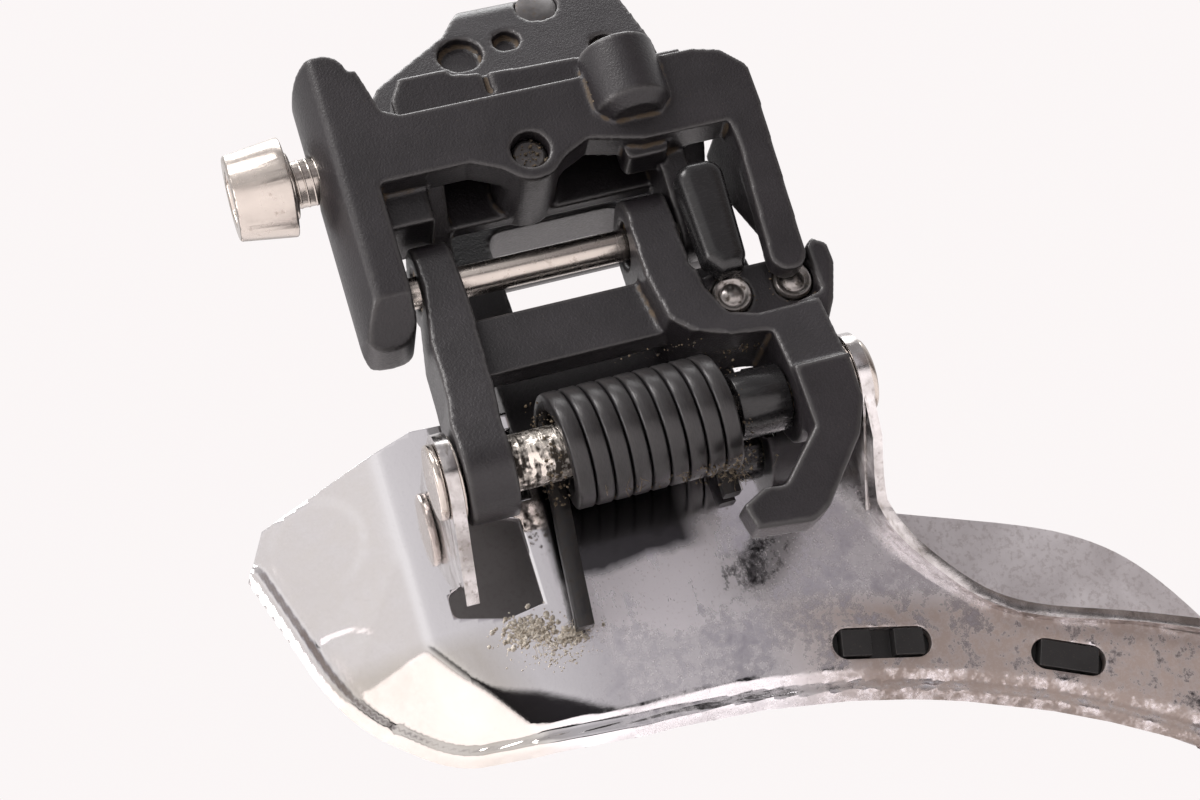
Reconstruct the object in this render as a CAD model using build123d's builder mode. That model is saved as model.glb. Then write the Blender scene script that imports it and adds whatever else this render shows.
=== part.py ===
from build123d import *
import math
import os

# Front derailleur, braze-on type, double chainring.
# Frame: +X rearward, +Y outboard (drive side), +Z up along the seat tube.
# Origin: the crest of the curved mount pad, on the clamp bolt axis.
# All sizes in millimetres.

# ---------------------------------------------------------------- driving sizes
link_length = 22.3          # pivot to pivot, both links
rest_lean = 13.0            # links lean this far inboard at rest, degrees
upper_y = 2.5               # upper inner pivot
upper_z = -13.5
offset_y = 11.0             # outer pivots from inner pivots
offset_z = 4.0
axle_radius = 1.7
running_gap = 0.05          # axle in bush, radial
side_gap = 0.25             # between cheeks and bosses, along X

# derived pivots
lower_y = upper_y - link_length * math.sin(math.radians(rest_lean))
lower_z = upper_z - link_length * math.cos(math.radians(rest_lean))
upper_inner = (upper_y, upper_z)
lower_inner = (lower_y, lower_z)
upper_outer = (upper_y + offset_y, upper_z + offset_z)
lower_outer = (lower_y + offset_y, lower_z + offset_z)

cage_level = 35.23          # heights in the cage are written for a lower pivot this far down


def level(height):
    """Height of a feature of the cage, which hangs from the lower pivot."""
    return height + lower_z + cage_level


# base casting
pad_radius = 9.0
bar_depth = 5.7             # along X
bar_half_width = 5.8        # along Y
bar_top = 10.8
bar_bottom = -20.8
face_y = -bar_half_width    # inboard face of the base, flush with the bar
wall = 4.0                  # thickness of the base front wall
clamp_thread_radius = 2.5
support_x = 21.4
support_z = -4.4
support_thread_radius = 2.0
support_boss_radius = 3.4
support_blend = 6.6         # half width of the bulge around the boss
wall_low_z = -4.4
wall_top_z = 2.5
window_top_z = -6.0         # upper edge of the window beside the arm
tier_front_y = -3.0
tier_top_z = 6.6
deck_back_y = 5.5
skirt_low_z = -7.2
post_x = 33.1               # round upright boss on the front face
post_radius = 4.0
post_bottom = -3.4
post_top = 4.6
post_bevel = 1.3
tongue_width = 4.6
tongue_low_z = -6.2
tongue_recess = 1.6         # tongue behind the wall face
wing_left_x = 9.6           # wings that carry the upper outer axle
wing_thickness = 3.2
outer_link_width = 24.6     # along X
arm_root_x = 42.2
arm_outer_x = 46.3
arm_tip_x = 43.2
arm_tip_z = -21.7
arm_tip_radius = 2.1
arm_back_y = -3.2
arm_root_back_y = 6.0
arm_thin_z = -20.0        # where the arm wall has thinned to the arm itself
cheek_low_z = -8.4
lug_thickness = 3.0

# inner link
left_leg_x = 7.3            # nose side of the left leg at the top
leg_width = 4.1
left_boss_x = 5.3
left_boss_length = 4.9
right_leg_x = 30.1
right_leg_width = 4.7
right_boss_x = 39.0
right_boss_length = 6.0
top_boss_radius = 4.5
low_boss_radius = 5.0
web_thickness = 2.6
shelf_front_y = -2.4
shelf_back_y = 2.6
low_screw_x = 44.0
high_screw_x = 37.4
limit_screw_z = -23.6
limit_screw_radius = 2.1
screw_gap = 0.3             # screw tip to its stop at rest

# cage
plate_offset_y = 7.5164     # inboard face of the inner plate, outboard of the lower pivot
plate_y = lower_y + plate_offset_y
sheet = 1.2
cage_width = 12.8           # clear width between the plates
ear_sheet = 1.3
ear_radius = 4.6
ring_centre_x = 17.0        # centre that the lower rims follow
ring_centre_z = level(-159.0)
rim_radius = 96.1
slot_radius = 101.8
outer_rim_radius = 101.0
head_radius = 3.8
head_thickness = 0.9

# spring
spring_radius = 5.9         # outside
wire_width = 1.85           # along the axle
wire_height = 1.7
spring_turns = 9
spring_x = 14.3
spring_pitch = 1.94
bush_spring_x = 33.4        # start of the black bush beside the spring

# stop block and its peg
stop_block_x = 34.9
stop_block_width = 5.2
stop_block_top = -9.6
stop_block_bottom = -22.2
stop_block_front = -6.2
peg_x = 36.7
peg_z = -11.4
peg_radius = 0.8
peg_length = 2.4
peg_seat_y = -1.7

# clamp bolt
bolt_reach = 2.6            # thread left in sight in front of the pad
bolt_head_length = 5.9
bolt_head_radius_out = 4.4
bolt_head_radius_in = 5.2

# fits
press_gap = 0.02
thread_gap = 0.06
contact_gap = 0.05
open_pivot_gap = 0.2
washer_thickness = 0.3
clip_thickness = 0.8
clip_radius = 3.2
clip_seat_radius = 1.25

# lever and foot of the inner link
shelf_ear_x = 45.8
lever_front_y = -8.2
lever_back_y = -4.6
foot_left_x = 29.8
foot_right_x = 36.9
foot_z = level(-47.2)
ear_front_y = -4.6
limit_screw_end_y = 4.6

# outer link
link_lug_gap_x = 13.15
lower_outer_radius = 1.3
outer_head = 1.0
outer_boss_radius = 2.5
arm_length = 36.0
arm_lean = 15.0
cable_bolt_radius = 2.5
cable_bolt_x = 33.5
arm_recess_depth = 1.3
arm_recess_places = ((22.6, -5.4, 2.6), (28.4, -4.6, 1.6), (39.2, -8.4, 1.7))   # X, height, radius
shoulder_flare = 7.0
shoulder_z = 9.5

# cage details
nose_fold_x = -1.4
nose_turn = 6.0
tail_fold_x = 70.0
tail_turn = 1.4
strip_end_x = 96.0          # beyond the tail, where both folded strips are cut off
plate_notch_z = level(-35.2)
slot_angles = (14.5, 25.3, 35.6)
slot_lengths = (10.2, 7.8, 7.0)
slot_height = 3.2
slot_extra_turn = -1.0
clip_length = 3.0
clip_proud = 0.35
clip_end_gap = 0.9
bead_height = 0.4
bead_width = 3.6
flange_height = 1.5         # of the flange along the hollow edge, inboard of the plate
flange_inset = 0.15
flange_sheet = 1.0
front_rivet_x = 7.5
front_rivet_z = level(-32.4)
front_rivet_radius = 1.25
bridge_half_width = 2.2
bridge_z = level(-29.0)
tail_screw_radius = 1.5
tail_screw_angle = 40.6


def across(x):
    """Plane square to the pivot axes at x; local axes are Y and Z."""
    return Plane.YZ.offset(x)


def facing(y):
    """Plane square to Y; local axes are X and Z, normal towards the frame."""
    return Plane.XZ.offset(-y)


def on_ring(radius, angle):
    """Point on a circle about the chainring centre, angle in degrees from straight up."""
    turn = math.radians(angle)
    return (ring_centre_x + radius * math.sin(turn), ring_centre_z + radius * math.cos(turn))


# ---------------------------------------------------------------- base member
pad_edge_x = pad_radius - math.sqrt(pad_radius**2 - bar_half_width**2)
wing_right_x = wing_left_x + wing_thickness + 2 * side_gap + outer_link_width
lug_x = right_leg_x + right_leg_width + side_gap

with BuildPart() as base_member:
    # mount bar with the curved pad
    with BuildSketch(Plane.XY.offset(bar_bottom)):
        with BuildLine():
            Line((pad_edge_x, -bar_half_width), (bar_depth, -bar_half_width))
            Line((bar_depth, -bar_half_width), (bar_depth, bar_half_width))
            Line((bar_depth, bar_half_width), (pad_edge_x, bar_half_width))
            ThreePointArc((pad_edge_x, bar_half_width), (0, 0), (pad_edge_x, -bar_half_width))
        bar_section = make_face()
        fillet(bar_section.vertices().group_by(Axis.X)[0], 1.2)
    extrude(amount=bar_top - bar_bottom)
    with BuildSketch(facing(bar_half_width + 1)):
        with Locations((bar_depth / 2, (bar_top + bar_bottom) / 2)):
            RectangleRounded(bar_depth, bar_top - bar_bottom, 2.4)
    extrude(amount=2 * bar_half_width + 2, mode=Mode.INTERSECT)
    # sloped facets at the lower end of the bar, inboard and outboard
    with BuildSketch(across(-1)):
        with BuildLine():
            Polyline(
                (-bar_half_width - 1, bar_bottom + 5.4), (-bar_half_width - 1, bar_bottom - 1),
                (-1.4, bar_bottom - 1), (-bar_half_width - 1, bar_bottom + 5.4),
            )
        make_face()
        with BuildLine():
            Polyline(
                (bar_half_width + 1, bar_bottom + 4.0), (bar_half_width + 1, bar_bottom - 1),
                (2.0, bar_bottom - 1), (bar_half_width + 1, bar_bottom + 4.0),
            )
        make_face()
    extrude(amount=bar_depth + 2, mode=Mode.SUBTRACT)

    # front wall
    with BuildSketch(facing(face_y)):
        with BuildLine():
            Polyline(
                (bar_depth - 1, -4.6), (26.5, wall_low_z), (33.0, window_top_z),
                (arm_root_x, window_top_z), (arm_outer_x, window_top_z), (arm_outer_x, -0.2),
                (44.0, 2.2), (41.0, 3.0), (post_x + 3.0, 3.0), (post_x - 4.0, wall_top_z),
                (9.6, wall_top_z), (7.9, 3.4), (6.6, 8.4), (bar_depth - 1, 8.6),
                (bar_depth - 1, -4.6),
            )
        wall_outline = make_face()
        fillet(wall_outline.vertices().sort_by(Axis.X)[-2:], 1.2)
        with Locations((support_x, support_z)):
            Circle(support_boss_radius)
        with BuildLine():
            Polyline(
                (support_x - support_blend, wall_low_z + 1), (support_x - support_blend, wall_low_z),
                (support_x - support_boss_radius, support_z - 1.5),
                (support_x - 0.5 * support_boss_radius, support_z - 0.86 * support_boss_radius),
                (support_x + 0.5 * support_boss_radius, support_z - 0.86 * support_boss_radius),
                (support_x + support_boss_radius, support_z - 1.5),
                (support_x + support_blend, wall_low_z), (support_x + support_blend, wall_low_z + 1),
                (support_x - support_blend, wall_low_z + 1),
            )
        make_face()
    extrude(amount=-wall)
    # upper tier, set back behind the front wall
    with BuildSketch(facing(tier_front_y)):
        with BuildLine():
            Polyline(
                (wing_left_x, 0), (38.0, 0), (38.0, tier_top_z - 2.4), (post_x + 3.0, tier_top_z - 0.6),
                (20.4, tier_top_z), (16.6, tier_top_z + 0.6), (16.0, tier_top_z + 1.4),
                (11.0, tier_top_z + 1.4), (wing_left_x, tier_top_z - 1.0), (wing_left_x, 0),
            )
        make_face()
    extrude(amount=-(deck_back_y - tier_front_y))
    # seam grooves in the tier
    with BuildSketch(facing(tier_front_y - 0.1)):
        with Locations((19.9, tier_top_z - 0.6)):
            Rectangle(0.7, 3.6)
        with Locations((25.6, tier_top_z - 2.3)):
            Rectangle(11.4, 0.6)
    extrude(amount=-0.7, mode=Mode.SUBTRACT)
    # upright round boss with a bevelled foot, and the narrow tongue under it
    with BuildSketch(Plane.XY.offset(post_bottom + post_bevel)):
        with Locations((post_x, face_y + 0.3)):
            Circle(post_radius)
    extrude(amount=post_top - post_bottom - post_bevel)
    with BuildSketch(Plane.XY.offset(post_bottom)):
        with Locations((post_x, face_y + 0.3)):
            Circle(post_radius - post_bevel)
    with BuildSketch(Plane.XY.offset(post_bottom + post_bevel)):
        with Locations((post_x, face_y + 0.3)):
            Circle(post_radius)
    loft()
    with BuildSketch(facing(face_y + tongue_recess)):
        with Locations((post_x + 0.4, (post_bottom + tongue_low_z) / 2)):
            RectangleRounded(tongue_width, post_bottom - tongue_low_z + 2.0, 0.8)
    extrude(amount=-wall)
    # right stop arm
    with BuildSketch(facing(face_y)):
        with BuildLine():
            Polyline(
                (arm_root_x, window_top_z + 2), (arm_outer_x, window_top_z + 2),
                (arm_tip_x + arm_tip_radius, arm_tip_z), (arm_tip_x - arm_tip_radius + 0.4, arm_tip_z),
                (arm_root_x + 0.3, window_top_z - 3.0), (arm_root_x, window_top_z + 2),
            )
        make_face()
        with Locations((arm_tip_x + 0.2, arm_tip_z)):
            Circle(arm_tip_radius - 0.2)
    extrude(amount=face_y - arm_back_y)
    # the arm is deep at its root and thins towards the tip
    with BuildSketch(across(arm_root_x + 0.2)):
        with BuildLine():
            Polyline(
                (face_y + 0.6, window_top_z + 2), (arm_root_back_y, window_top_z + 2),
                (arm_root_back_y, window_top_z - 2.4), (arm_back_y, arm_thin_z),
                (face_y + 0.6, arm_thin_z), (face_y + 0.6, window_top_z + 2),
            )
        make_face()
    extrude(amount=arm_outer_x - arm_root_x - 1.2)
    # cheek between the bar and the front wing
    with BuildSketch(facing(face_y + wall - 1)):
        with BuildLine():
            Polyline(
                (bar_depth - 1, 0), (wing_left_x + 1, 0), (wing_left_x + 1, cheek_low_z),
                (bar_depth - 1, cheek_low_z), (bar_depth - 1, 0),
            )
        make_face()
    extrude(amount=-(deck_back_y - face_y - wall + 1))
    # support bolt boss, deeper behind the wall
    with BuildSketch(facing(face_y + 1)):
        with Locations((support_x, support_z)):
            Circle(support_boss_radius)
    extrude(amount=-(deck_back_y - face_y - 1))
    # rear skirt under the deck
    with BuildSketch(facing(deck_back_y - 2.0)):
        with BuildLine():
            Polyline(
                (wing_left_x, 1), (wing_left_x, skirt_low_z), (lug_x + lug_thickness, skirt_low_z),
                (lug_x + lug_thickness, 1), (wing_left_x, 1),
            )
        make_face()
    extrude(amount=-2.0)
    # wings that carry the upper outer axle
    for wing_x in (wing_left_x, wing_right_x):
        with BuildSketch(across(wing_x)):
            with Locations(upper_outer):
                Circle(4.0)
            with Locations((1.5, 1.0)):
                Rectangle(7.0, 8.6)
            make_hull()
        extrude(amount=wing_thickness)
    # lug that carries the rear end of the upper inner axle
    with BuildSketch(across(lug_x)):
        with Locations(upper_inner):
            Circle(3.4)
        with Locations((0.7, -1.0)):
            Rectangle(5.4, 6.0)
        make_hull()
    extrude(amount=lug_thickness)
    # bores: upper axles, clamp bolt, support bolt
    with BuildSketch(across(2.0)):
        with Locations(upper_inner):
            Circle(axle_radius)
    extrude(amount=lug_x + lug_thickness - 2.0 + 1, mode=Mode.SUBTRACT)
    with BuildSketch(across(wing_left_x - 1)):
        with Locations(upper_outer):
            Circle(axle_radius)
    extrude(amount=wing_right_x + wing_thickness - wing_left_x + 2, mode=Mode.SUBTRACT)
    with BuildSketch(across(-1)):
        Circle(clamp_thread_radius)
    extrude(amount=bar_depth + 1, mode=Mode.SUBTRACT)
    with BuildSketch(facing(face_y - 1)):
        with Locations((support_x, support_z)):
            Circle(support_thread_radius)
    extrude(amount=-20, mode=Mode.SUBTRACT)
    # peg hole for the stop block
    with BuildSketch(facing(peg_seat_y)):
        with Locations((peg_x, peg_z)):
            Circle(peg_radius + press_gap)
    extrude(amount=-peg_length, mode=Mode.SUBTRACT)

# ---------------------------------------------------------------- stop block
with BuildPart() as stop_block:
    block_middle = stop_block_x + stop_block_width / 2
    block_right = stop_block_x + stop_block_width
    with BuildSketch(facing(stop_block_front)):
        with BuildLine():
            Polyline(
                (stop_block_x, stop_block_top), (stop_block_x, stop_block_bottom + 1.9),
                (block_middle - 1.2, stop_block_bottom), (block_middle + 1.1, stop_block_bottom),
                (block_right - 0.7, stop_block_bottom + 1.6), (block_right, stop_block_top),
                (stop_block_x, stop_block_top),
            )
        block_outline = make_face()
        fillet(block_outline.vertices().group_by(Axis.Y)[-1], 1.8)
        fillet(block_outline.vertices().group_by(Axis.Y)[0], 0.9)
    extrude(amount=stop_block_front - arm_back_y)
    fillet(stop_block.faces().sort_by(Axis.Y)[0].edges(), 1.3)
    # foot and peg that reach back to the base lug
    with BuildSketch(facing(arm_back_y)):
        with Locations((peg_x, peg_z)):
            RectangleRounded(2.6, 2.6, 0.5)
    extrude(amount=arm_back_y - peg_seat_y)
    with BuildSketch(facing(peg_seat_y)):
        with Locations((peg_x, peg_z)):
            Circle(peg_radius)
    extrude(amount=-peg_length)

# ---------------------------------------------------------------- screws in the base
with BuildPart() as clamp_bolt:
    with BuildSketch(across(-bolt_reach - bolt_head_length)):
        Circle(bolt_head_radius_out)
    with BuildSketch(across(-bolt_reach)):
        Circle(bolt_head_radius_in)
    loft()
    with BuildSketch(across(-bolt_reach)):
        Circle(3.5)
    extrude(amount=0.5)
    with BuildSketch(across(-bolt_reach)):
        Circle(clamp_thread_radius - thread_gap)
    extrude(amount=bolt_reach + bar_depth - 0.6)
    with BuildSketch(across(-bolt_reach - bolt_head_length)):
        RegularPolygon(radius=2.5, side_count=6, major_radius=False)
    extrude(amount=3.2, mode=Mode.SUBTRACT)
    chamfer(clamp_bolt.faces().sort_by(Axis.X)[-1].edges(), 0.5)

with BuildPart() as support_bolt:
    with BuildSketch(facing(face_y + 1.4)):
        with Locations((support_x, support_z)):
            Circle(support_thread_radius - thread_gap)
    extrude(amount=-12.0)
    with BuildSketch(facing(face_y + 13.4)):
        with Locations((support_x, support_z)):
            RegularPolygon(radius=1.0, side_count=6, major_radius=False)
    extrude(amount=2.2, mode=Mode.SUBTRACT)
    chamfer(support_bolt.faces().sort_by(Axis.Y)[0].edges(), 0.4)

# ---------------------------------------------------------------- axles
upper_inner_length = lug_x + lug_thickness - 2.6
with BuildPart() as upper_inner_axle:
    with BuildSketch(across(2.6)):
        with Locations(upper_inner):
            Circle(axle_radius - press_gap)
    extrude(amount=upper_inner_length)
    chamfer(upper_inner_axle.faces().sort_by(Axis.X)[-1].edges(), 0.3)

outer_axle_overhang = 1.6
outer_axle_x = wing_left_x - outer_axle_overhang
outer_axle_length = wing_right_x + wing_thickness + outer_axle_overhang - outer_axle_x
clip_inset = 0.3


def ring_groove(x, centre, width):
    """Cut a snap ring groove into the axle that is being built."""
    with BuildSketch(across(x)) as groove:
        with Locations(centre):
            Circle(axle_radius + 1)
            Circle(clip_seat_radius, mode=Mode.SUBTRACT)
    extrude(groove.sketch, amount=width, mode=Mode.SUBTRACT)


with BuildPart() as upper_outer_axle:
    with BuildSketch(across(outer_axle_x)):
        with Locations(upper_outer):
            Circle(axle_radius - press_gap)
    extrude(amount=outer_axle_length)
    ring_groove(wing_left_x - clip_inset - clip_thickness, upper_outer, clip_thickness)
    ring_groove(wing_right_x + wing_thickness + clip_inset, upper_outer, clip_thickness)

left_ear_x = left_boss_x - side_gap - washer_thickness - ear_sheet
right_ear_x = right_boss_x + right_boss_length + side_gap + washer_thickness
flange_x = right_ear_x + ear_sheet

with BuildPart() as lower_inner_axle:
    with BuildSketch(across(left_ear_x - head_thickness)):
        with Locations(lower_inner):
            Circle(head_radius)
    extrude(amount=head_thickness)
    with BuildSketch(across(right_ear_x + ear_sheet)):
        with Locations(lower_inner):
            Circle(head_radius)
    extrude(amount=head_thickness)
    with BuildSketch(across(left_ear_x)):
        with Locations(lower_inner):
            Circle(axle_radius - press_gap)
    extrude(amount=right_ear_x + ear_sheet - left_ear_x)

link_lug_left_x = link_lug_gap_x - side_gap - ear_sheet
link_lug_right_x = link_lug_gap_x + outer_link_width + side_gap
with BuildPart() as lower_outer_axle:
    with BuildSketch(across(link_lug_left_x - outer_head)):
        with Locations(lower_outer):
            Circle(lower_outer_radius - press_gap)
    extrude(amount=link_lug_right_x + ear_sheet - link_lug_left_x + 2 * outer_head)
    for head_x in (link_lug_left_x - outer_head, link_lug_right_x + ear_sheet):
        with BuildSketch(across(head_x)):
            with Locations(lower_outer):
                Circle(lower_outer_radius + 0.8)
        extrude(amount=outer_head)


def snap_ring(x, centre):
    """Open ring that sits in an axle groove."""
    with BuildSketch(across(x)) as ring:
        with Locations(centre):
            Circle(clip_radius)
            Circle(clip_seat_radius + 0.05, mode=Mode.SUBTRACT)
        with Locations((centre[0], centre[1] - clip_radius)):
            Rectangle(1.6, 2 * clip_radius - 1.0, mode=Mode.SUBTRACT)
    extrude(ring.sketch, amount=clip_thickness - 0.1)


with BuildPart() as axle_rings:
    snap_ring(wing_left_x - clip_inset - clip_thickness + 0.05, upper_outer)
    snap_ring(wing_right_x + wing_thickness + clip_inset + 0.05, upper_outer)

# ---------------------------------------------------------------- inner link
bush_wall = 0.7
bush_bore = axle_radius + running_gap

left_boss_end = left_boss_x + left_boss_length
right_boss_end = right_boss_x + right_boss_length

with BuildPart() as inner_link:
    # side shape of the legs, cut to the front shape below
    with BuildSketch(across(left_boss_x)):
        with Locations(upper_inner):
            Circle(top_boss_radius)
        with Locations(lower_inner):
            Circle(low_boss_radius)
        make_hull()
    extrude(amount=right_boss_end - left_boss_x)
    with BuildSketch(facing(lower_y - 8)):
        with BuildLine():
            # left leg, leaning a little towards the nose
            Polyline(
                (left_leg_x, upper_z + 6), (left_leg_x, upper_z - 2), (left_boss_x + 0.9, upper_z - 8),
                (left_boss_x + 0.6, lower_z + 7), (left_boss_x, lower_z + 4),
                (left_boss_x, lower_z - 8),
                (left_boss_end, lower_z - 8), (left_boss_end, lower_z + 3),
                (left_boss_end + 0.5, lower_z + 7), (left_leg_x + leg_width, upper_z - 4),
                (left_leg_x + leg_width, upper_z + 6), (left_leg_x, upper_z + 6),
            )
        make_face()
        with BuildLine():
            # right leg with its sweep out to the screw shelf
            Polyline(
                (right_leg_x, upper_z + 6), (right_leg_x - 1.0, upper_z - 6.5),
                (right_leg_x - 0.5, upper_z - 11.9), (right_leg_x + 1.2, upper_z - 13.9),
                (right_leg_x + 4.8, upper_z - 15.4), (right_boss_x, upper_z - 16.0),
                (right_boss_x, lower_z - 8), (right_boss_end, lower_z - 8),
                (right_boss_end, upper_z - 8.2), (right_leg_x + right_leg_width + 1.0, upper_z - 8.2),
                (right_leg_x + right_leg_width - 0.8, upper_z - 6.5),
                (right_leg_x + right_leg_width, upper_z + 6), (right_leg_x, upper_z + 6),
            )
        make_face()
    extrude(amount=-24, mode=Mode.INTERSECT)
    # pocket in front of the limit screws
    with BuildSketch(facing(shelf_front_y)):
        with BuildLine():
            Polyline(
                (right_leg_x + right_leg_width + 0.2, -9), (right_leg_x + right_leg_width - 0.4, -22.6),
                (right_leg_x + right_leg_width + 0.8, limit_screw_z - 2.6),
                (high_screw_x + 1.0, limit_screw_z - 3.5), (low_screw_x + 1.2, limit_screw_z - 3.4),
                (shelf_ear_x, limit_screw_z - 2.0), (shelf_ear_x, -9),
                (right_leg_x + right_leg_width + 0.2, -9),
            )
        make_face()
    extrude(amount=12, mode=Mode.SUBTRACT)
    # web between the legs
    web_top = 0.26          # share of the way from the upper to the lower pivot
    web_bottom = 0.57
    with BuildSketch(across(left_boss_x + 2)):
        with Locations(
            (
                upper_y + (web_top + web_bottom) / 2 * (lower_y - upper_y),
                upper_z + (web_top + web_bottom) / 2 * (lower_z - upper_z),
            )
        ):
            Rectangle(web_thickness, (web_bottom - web_top) * link_length, rotation=-rest_lean)
    extrude(amount=right_boss_x - left_boss_x)
    # screw shelf
    with BuildSketch(facing(shelf_front_y)):
        with BuildLine():
            Polyline(
                (right_leg_x + 2.5, limit_screw_z + 1.6), (high_screw_x - 1.5, limit_screw_z + 2.9),
                (shelf_ear_x + 0.5, limit_screw_z + 2.9), (shelf_ear_x + 0.5, limit_screw_z - 4.6),
                (high_screw_x, limit_screw_z - 4.4), (right_leg_x + 2.5, limit_screw_z - 1.2),
                (right_leg_x + 2.5, limit_screw_z + 1.6),
            )
        make_face()
    extrude(amount=shelf_front_y - shelf_back_y)
    # upright ear behind the screws
    with BuildSketch(facing(ear_front_y)):
        with BuildLine():
            Polyline(
                (shelf_ear_x, limit_screw_z + 2.6), (shelf_ear_x + 0.9, limit_screw_z + 3.4),
                (shelf_ear_x + 2.3, limit_screw_z + 2.5), (shelf_ear_x + 2.4, limit_screw_z + 0.3),
                (shelf_ear_x + 1.0, limit_screw_z - 3.6), (right_boss_end, limit_screw_z - 6.6),
                (right_boss_x + 1, limit_screw_z - 6.6), (right_boss_x + 1, limit_screw_z - 3.6),
                (shelf_ear_x, limit_screw_z - 2.4), (shelf_ear_x, limit_screw_z + 2.6),
            )
        make_face()
    extrude(amount=ear_front_y - shelf_back_y)
    # spring lever on the rear boss, ending in a foot
    with BuildSketch(facing(lever_front_y)):
        with BuildLine():
            Polyline(
                (right_boss_x + 0.2, lower_z + 1.0), (right_boss_end, lower_z + 1.0),
                (right_boss_end - 0.2, lower_z - 4.0), (right_boss_end - 1.8, lower_z - 7.4),
                (foot_right_x + 1.0, foot_z - 1.6), (foot_right_x - 0.9, foot_z - 2.6),
                (foot_left_x + 0.6, foot_z - 2.0), (foot_left_x, foot_z + 0.6),
                (foot_left_x + 2.4, foot_z + 1.8), (foot_right_x - 2.4, foot_z + 1.6),
                (right_boss_x + 0.2, lower_z - 5.4), (right_boss_x + 0.2, lower_z + 1.0),
            )
        make_face()
    extrude(amount=lever_front_y - lever_back_y)
    # bores: bush seats, limit screws
    with BuildSketch(across(left_boss_x - 1)):
        with Locations(upper_inner, lower_inner):
            Circle(bush_bore + bush_wall)
    extrude(amount=right_boss_end - left_boss_x + 2, mode=Mode.SUBTRACT)
    with BuildSketch(facing(shelf_front_y - 1)):
        with Locations((low_screw_x, limit_screw_z), (high_screw_x, limit_screw_z)):
            Circle(limit_screw_radius)
    extrude(amount=-8, mode=Mode.SUBTRACT)


def bush(x, length, centre):
    """Plain bush pressed into a link boss."""
    with BuildSketch(across(x)) as ring:
        with Locations(centre):
            Circle(bush_bore + bush_wall - press_gap)
            Circle(bush_bore, mode=Mode.SUBTRACT)
    extrude(ring.sketch, amount=length)


with BuildPart() as inner_link_bushes:
    bush(left_leg_x + 0.3, leg_width - 0.6, upper_inner)
    bush(right_leg_x + 0.3, right_leg_width - 1.2, upper_inner)
    bush(left_boss_x + 0.2, left_boss_length - 0.4, lower_inner)
    bush(right_boss_x + 0.2, right_boss_length - 0.4, lower_inner)


def limit_screw(x):
    """Grub-ended adjuster: ringed tip inboard, hexagon socket outboard."""
    tip_y = arm_back_y + screw_gap
    with BuildSketch(facing(tip_y)) as shank:
        with Locations((x, limit_screw_z)):
            Circle(limit_screw_radius - thread_gap)
    extrude(shank.sketch, amount=tip_y - limit_screw_end_y)
    with BuildSketch(facing(limit_screw_end_y)) as socket:
        with Locations((x, limit_screw_z)):
            RegularPolygon(radius=1.0, side_count=6, major_radius=False)
    extrude(socket.sketch, amount=2.0, mode=Mode.SUBTRACT)


with BuildPart() as low_limit_screw:
    limit_screw(low_screw_x)
    chamfer(low_limit_screw.faces().sort_by(Axis.Y)[0].edges(), 0.35)

with BuildPart() as high_limit_screw:
    limit_screw(high_screw_x)
    chamfer(high_limit_screw.faces().sort_by(Axis.Y)[0].edges(), 0.35)

# ---------------------------------------------------------------- outer link and cable arm
arm_top = (
    upper_outer[0] + arm_length * math.sin(math.radians(arm_lean)),
    upper_outer[1] + arm_length * math.cos(math.radians(arm_lean)),
)

with BuildPart() as outer_link:
    with BuildSketch(across(link_lug_gap_x)):
        with Locations(upper_outer):
            Circle(3.6)
        with Locations(lower_outer):
            Circle(outer_boss_radius)
        make_hull()
    extrude(amount=outer_link_width)
    # long cable arm with wide shoulders
    with BuildSketch(across(link_lug_gap_x - shoulder_flare)):
        with Locations(upper_outer):
            Circle(3.6)
        with Locations(arm_top):
            Circle(3.0)
        make_hull()
    extrude(amount=outer_link_width + 2 * shoulder_flare)
    with BuildSketch(facing(lower_y - 20)):
        with BuildLine():
            link_right_x = link_lug_gap_x + outer_link_width
            link_middle_x = link_lug_gap_x + outer_link_width / 2
            Polyline(
                (link_lug_gap_x, -60), (link_right_x, -60), (link_right_x, shoulder_z),
                (link_right_x + shoulder_flare, shoulder_z + 1),
                (link_right_x + shoulder_flare, shoulder_z + 8),
                (cable_bolt_x + 10, arm_top[1] - 1), (cable_bolt_x + 6.5, arm_top[1] + 6),
                (cable_bolt_x - 6.5, arm_top[1] + 6), (cable_bolt_x - 12, arm_top[1] - 1),
                (link_lug_gap_x - 1, shoulder_z + 9), (link_lug_gap_x - 2.4, shoulder_z + 7),
                (link_lug_gap_x - 2.4, shoulder_z + 1), (link_lug_gap_x, shoulder_z),
                (link_lug_gap_x, -60),
            )
        make_face()
    extrude(amount=-80, mode=Mode.INTERSECT)
    # opening between the two arms of the link, across the pivot
    opening_top = upper_outer[1] + 4.4
    opening_bottom = upper_outer[1] - 9.6
    with BuildSketch(facing(lower_y)):
        with Locations((link_middle_x, (opening_top + opening_bottom) / 2)):
            RectangleRounded(outer_link_width - 9.0, opening_top - opening_bottom, 2.0)
    extrude(amount=-40, mode=Mode.SUBTRACT)
    # bores: bush seats, cable bolt
    with BuildSketch(across(link_lug_gap_x - 1)):
        with Locations(upper_outer):
            Circle(bush_bore + bush_wall)
        with Locations(lower_outer):
            Circle(lower_outer_radius + open_pivot_gap)
    extrude(amount=outer_link_width + 2, mode=Mode.SUBTRACT)

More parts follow.
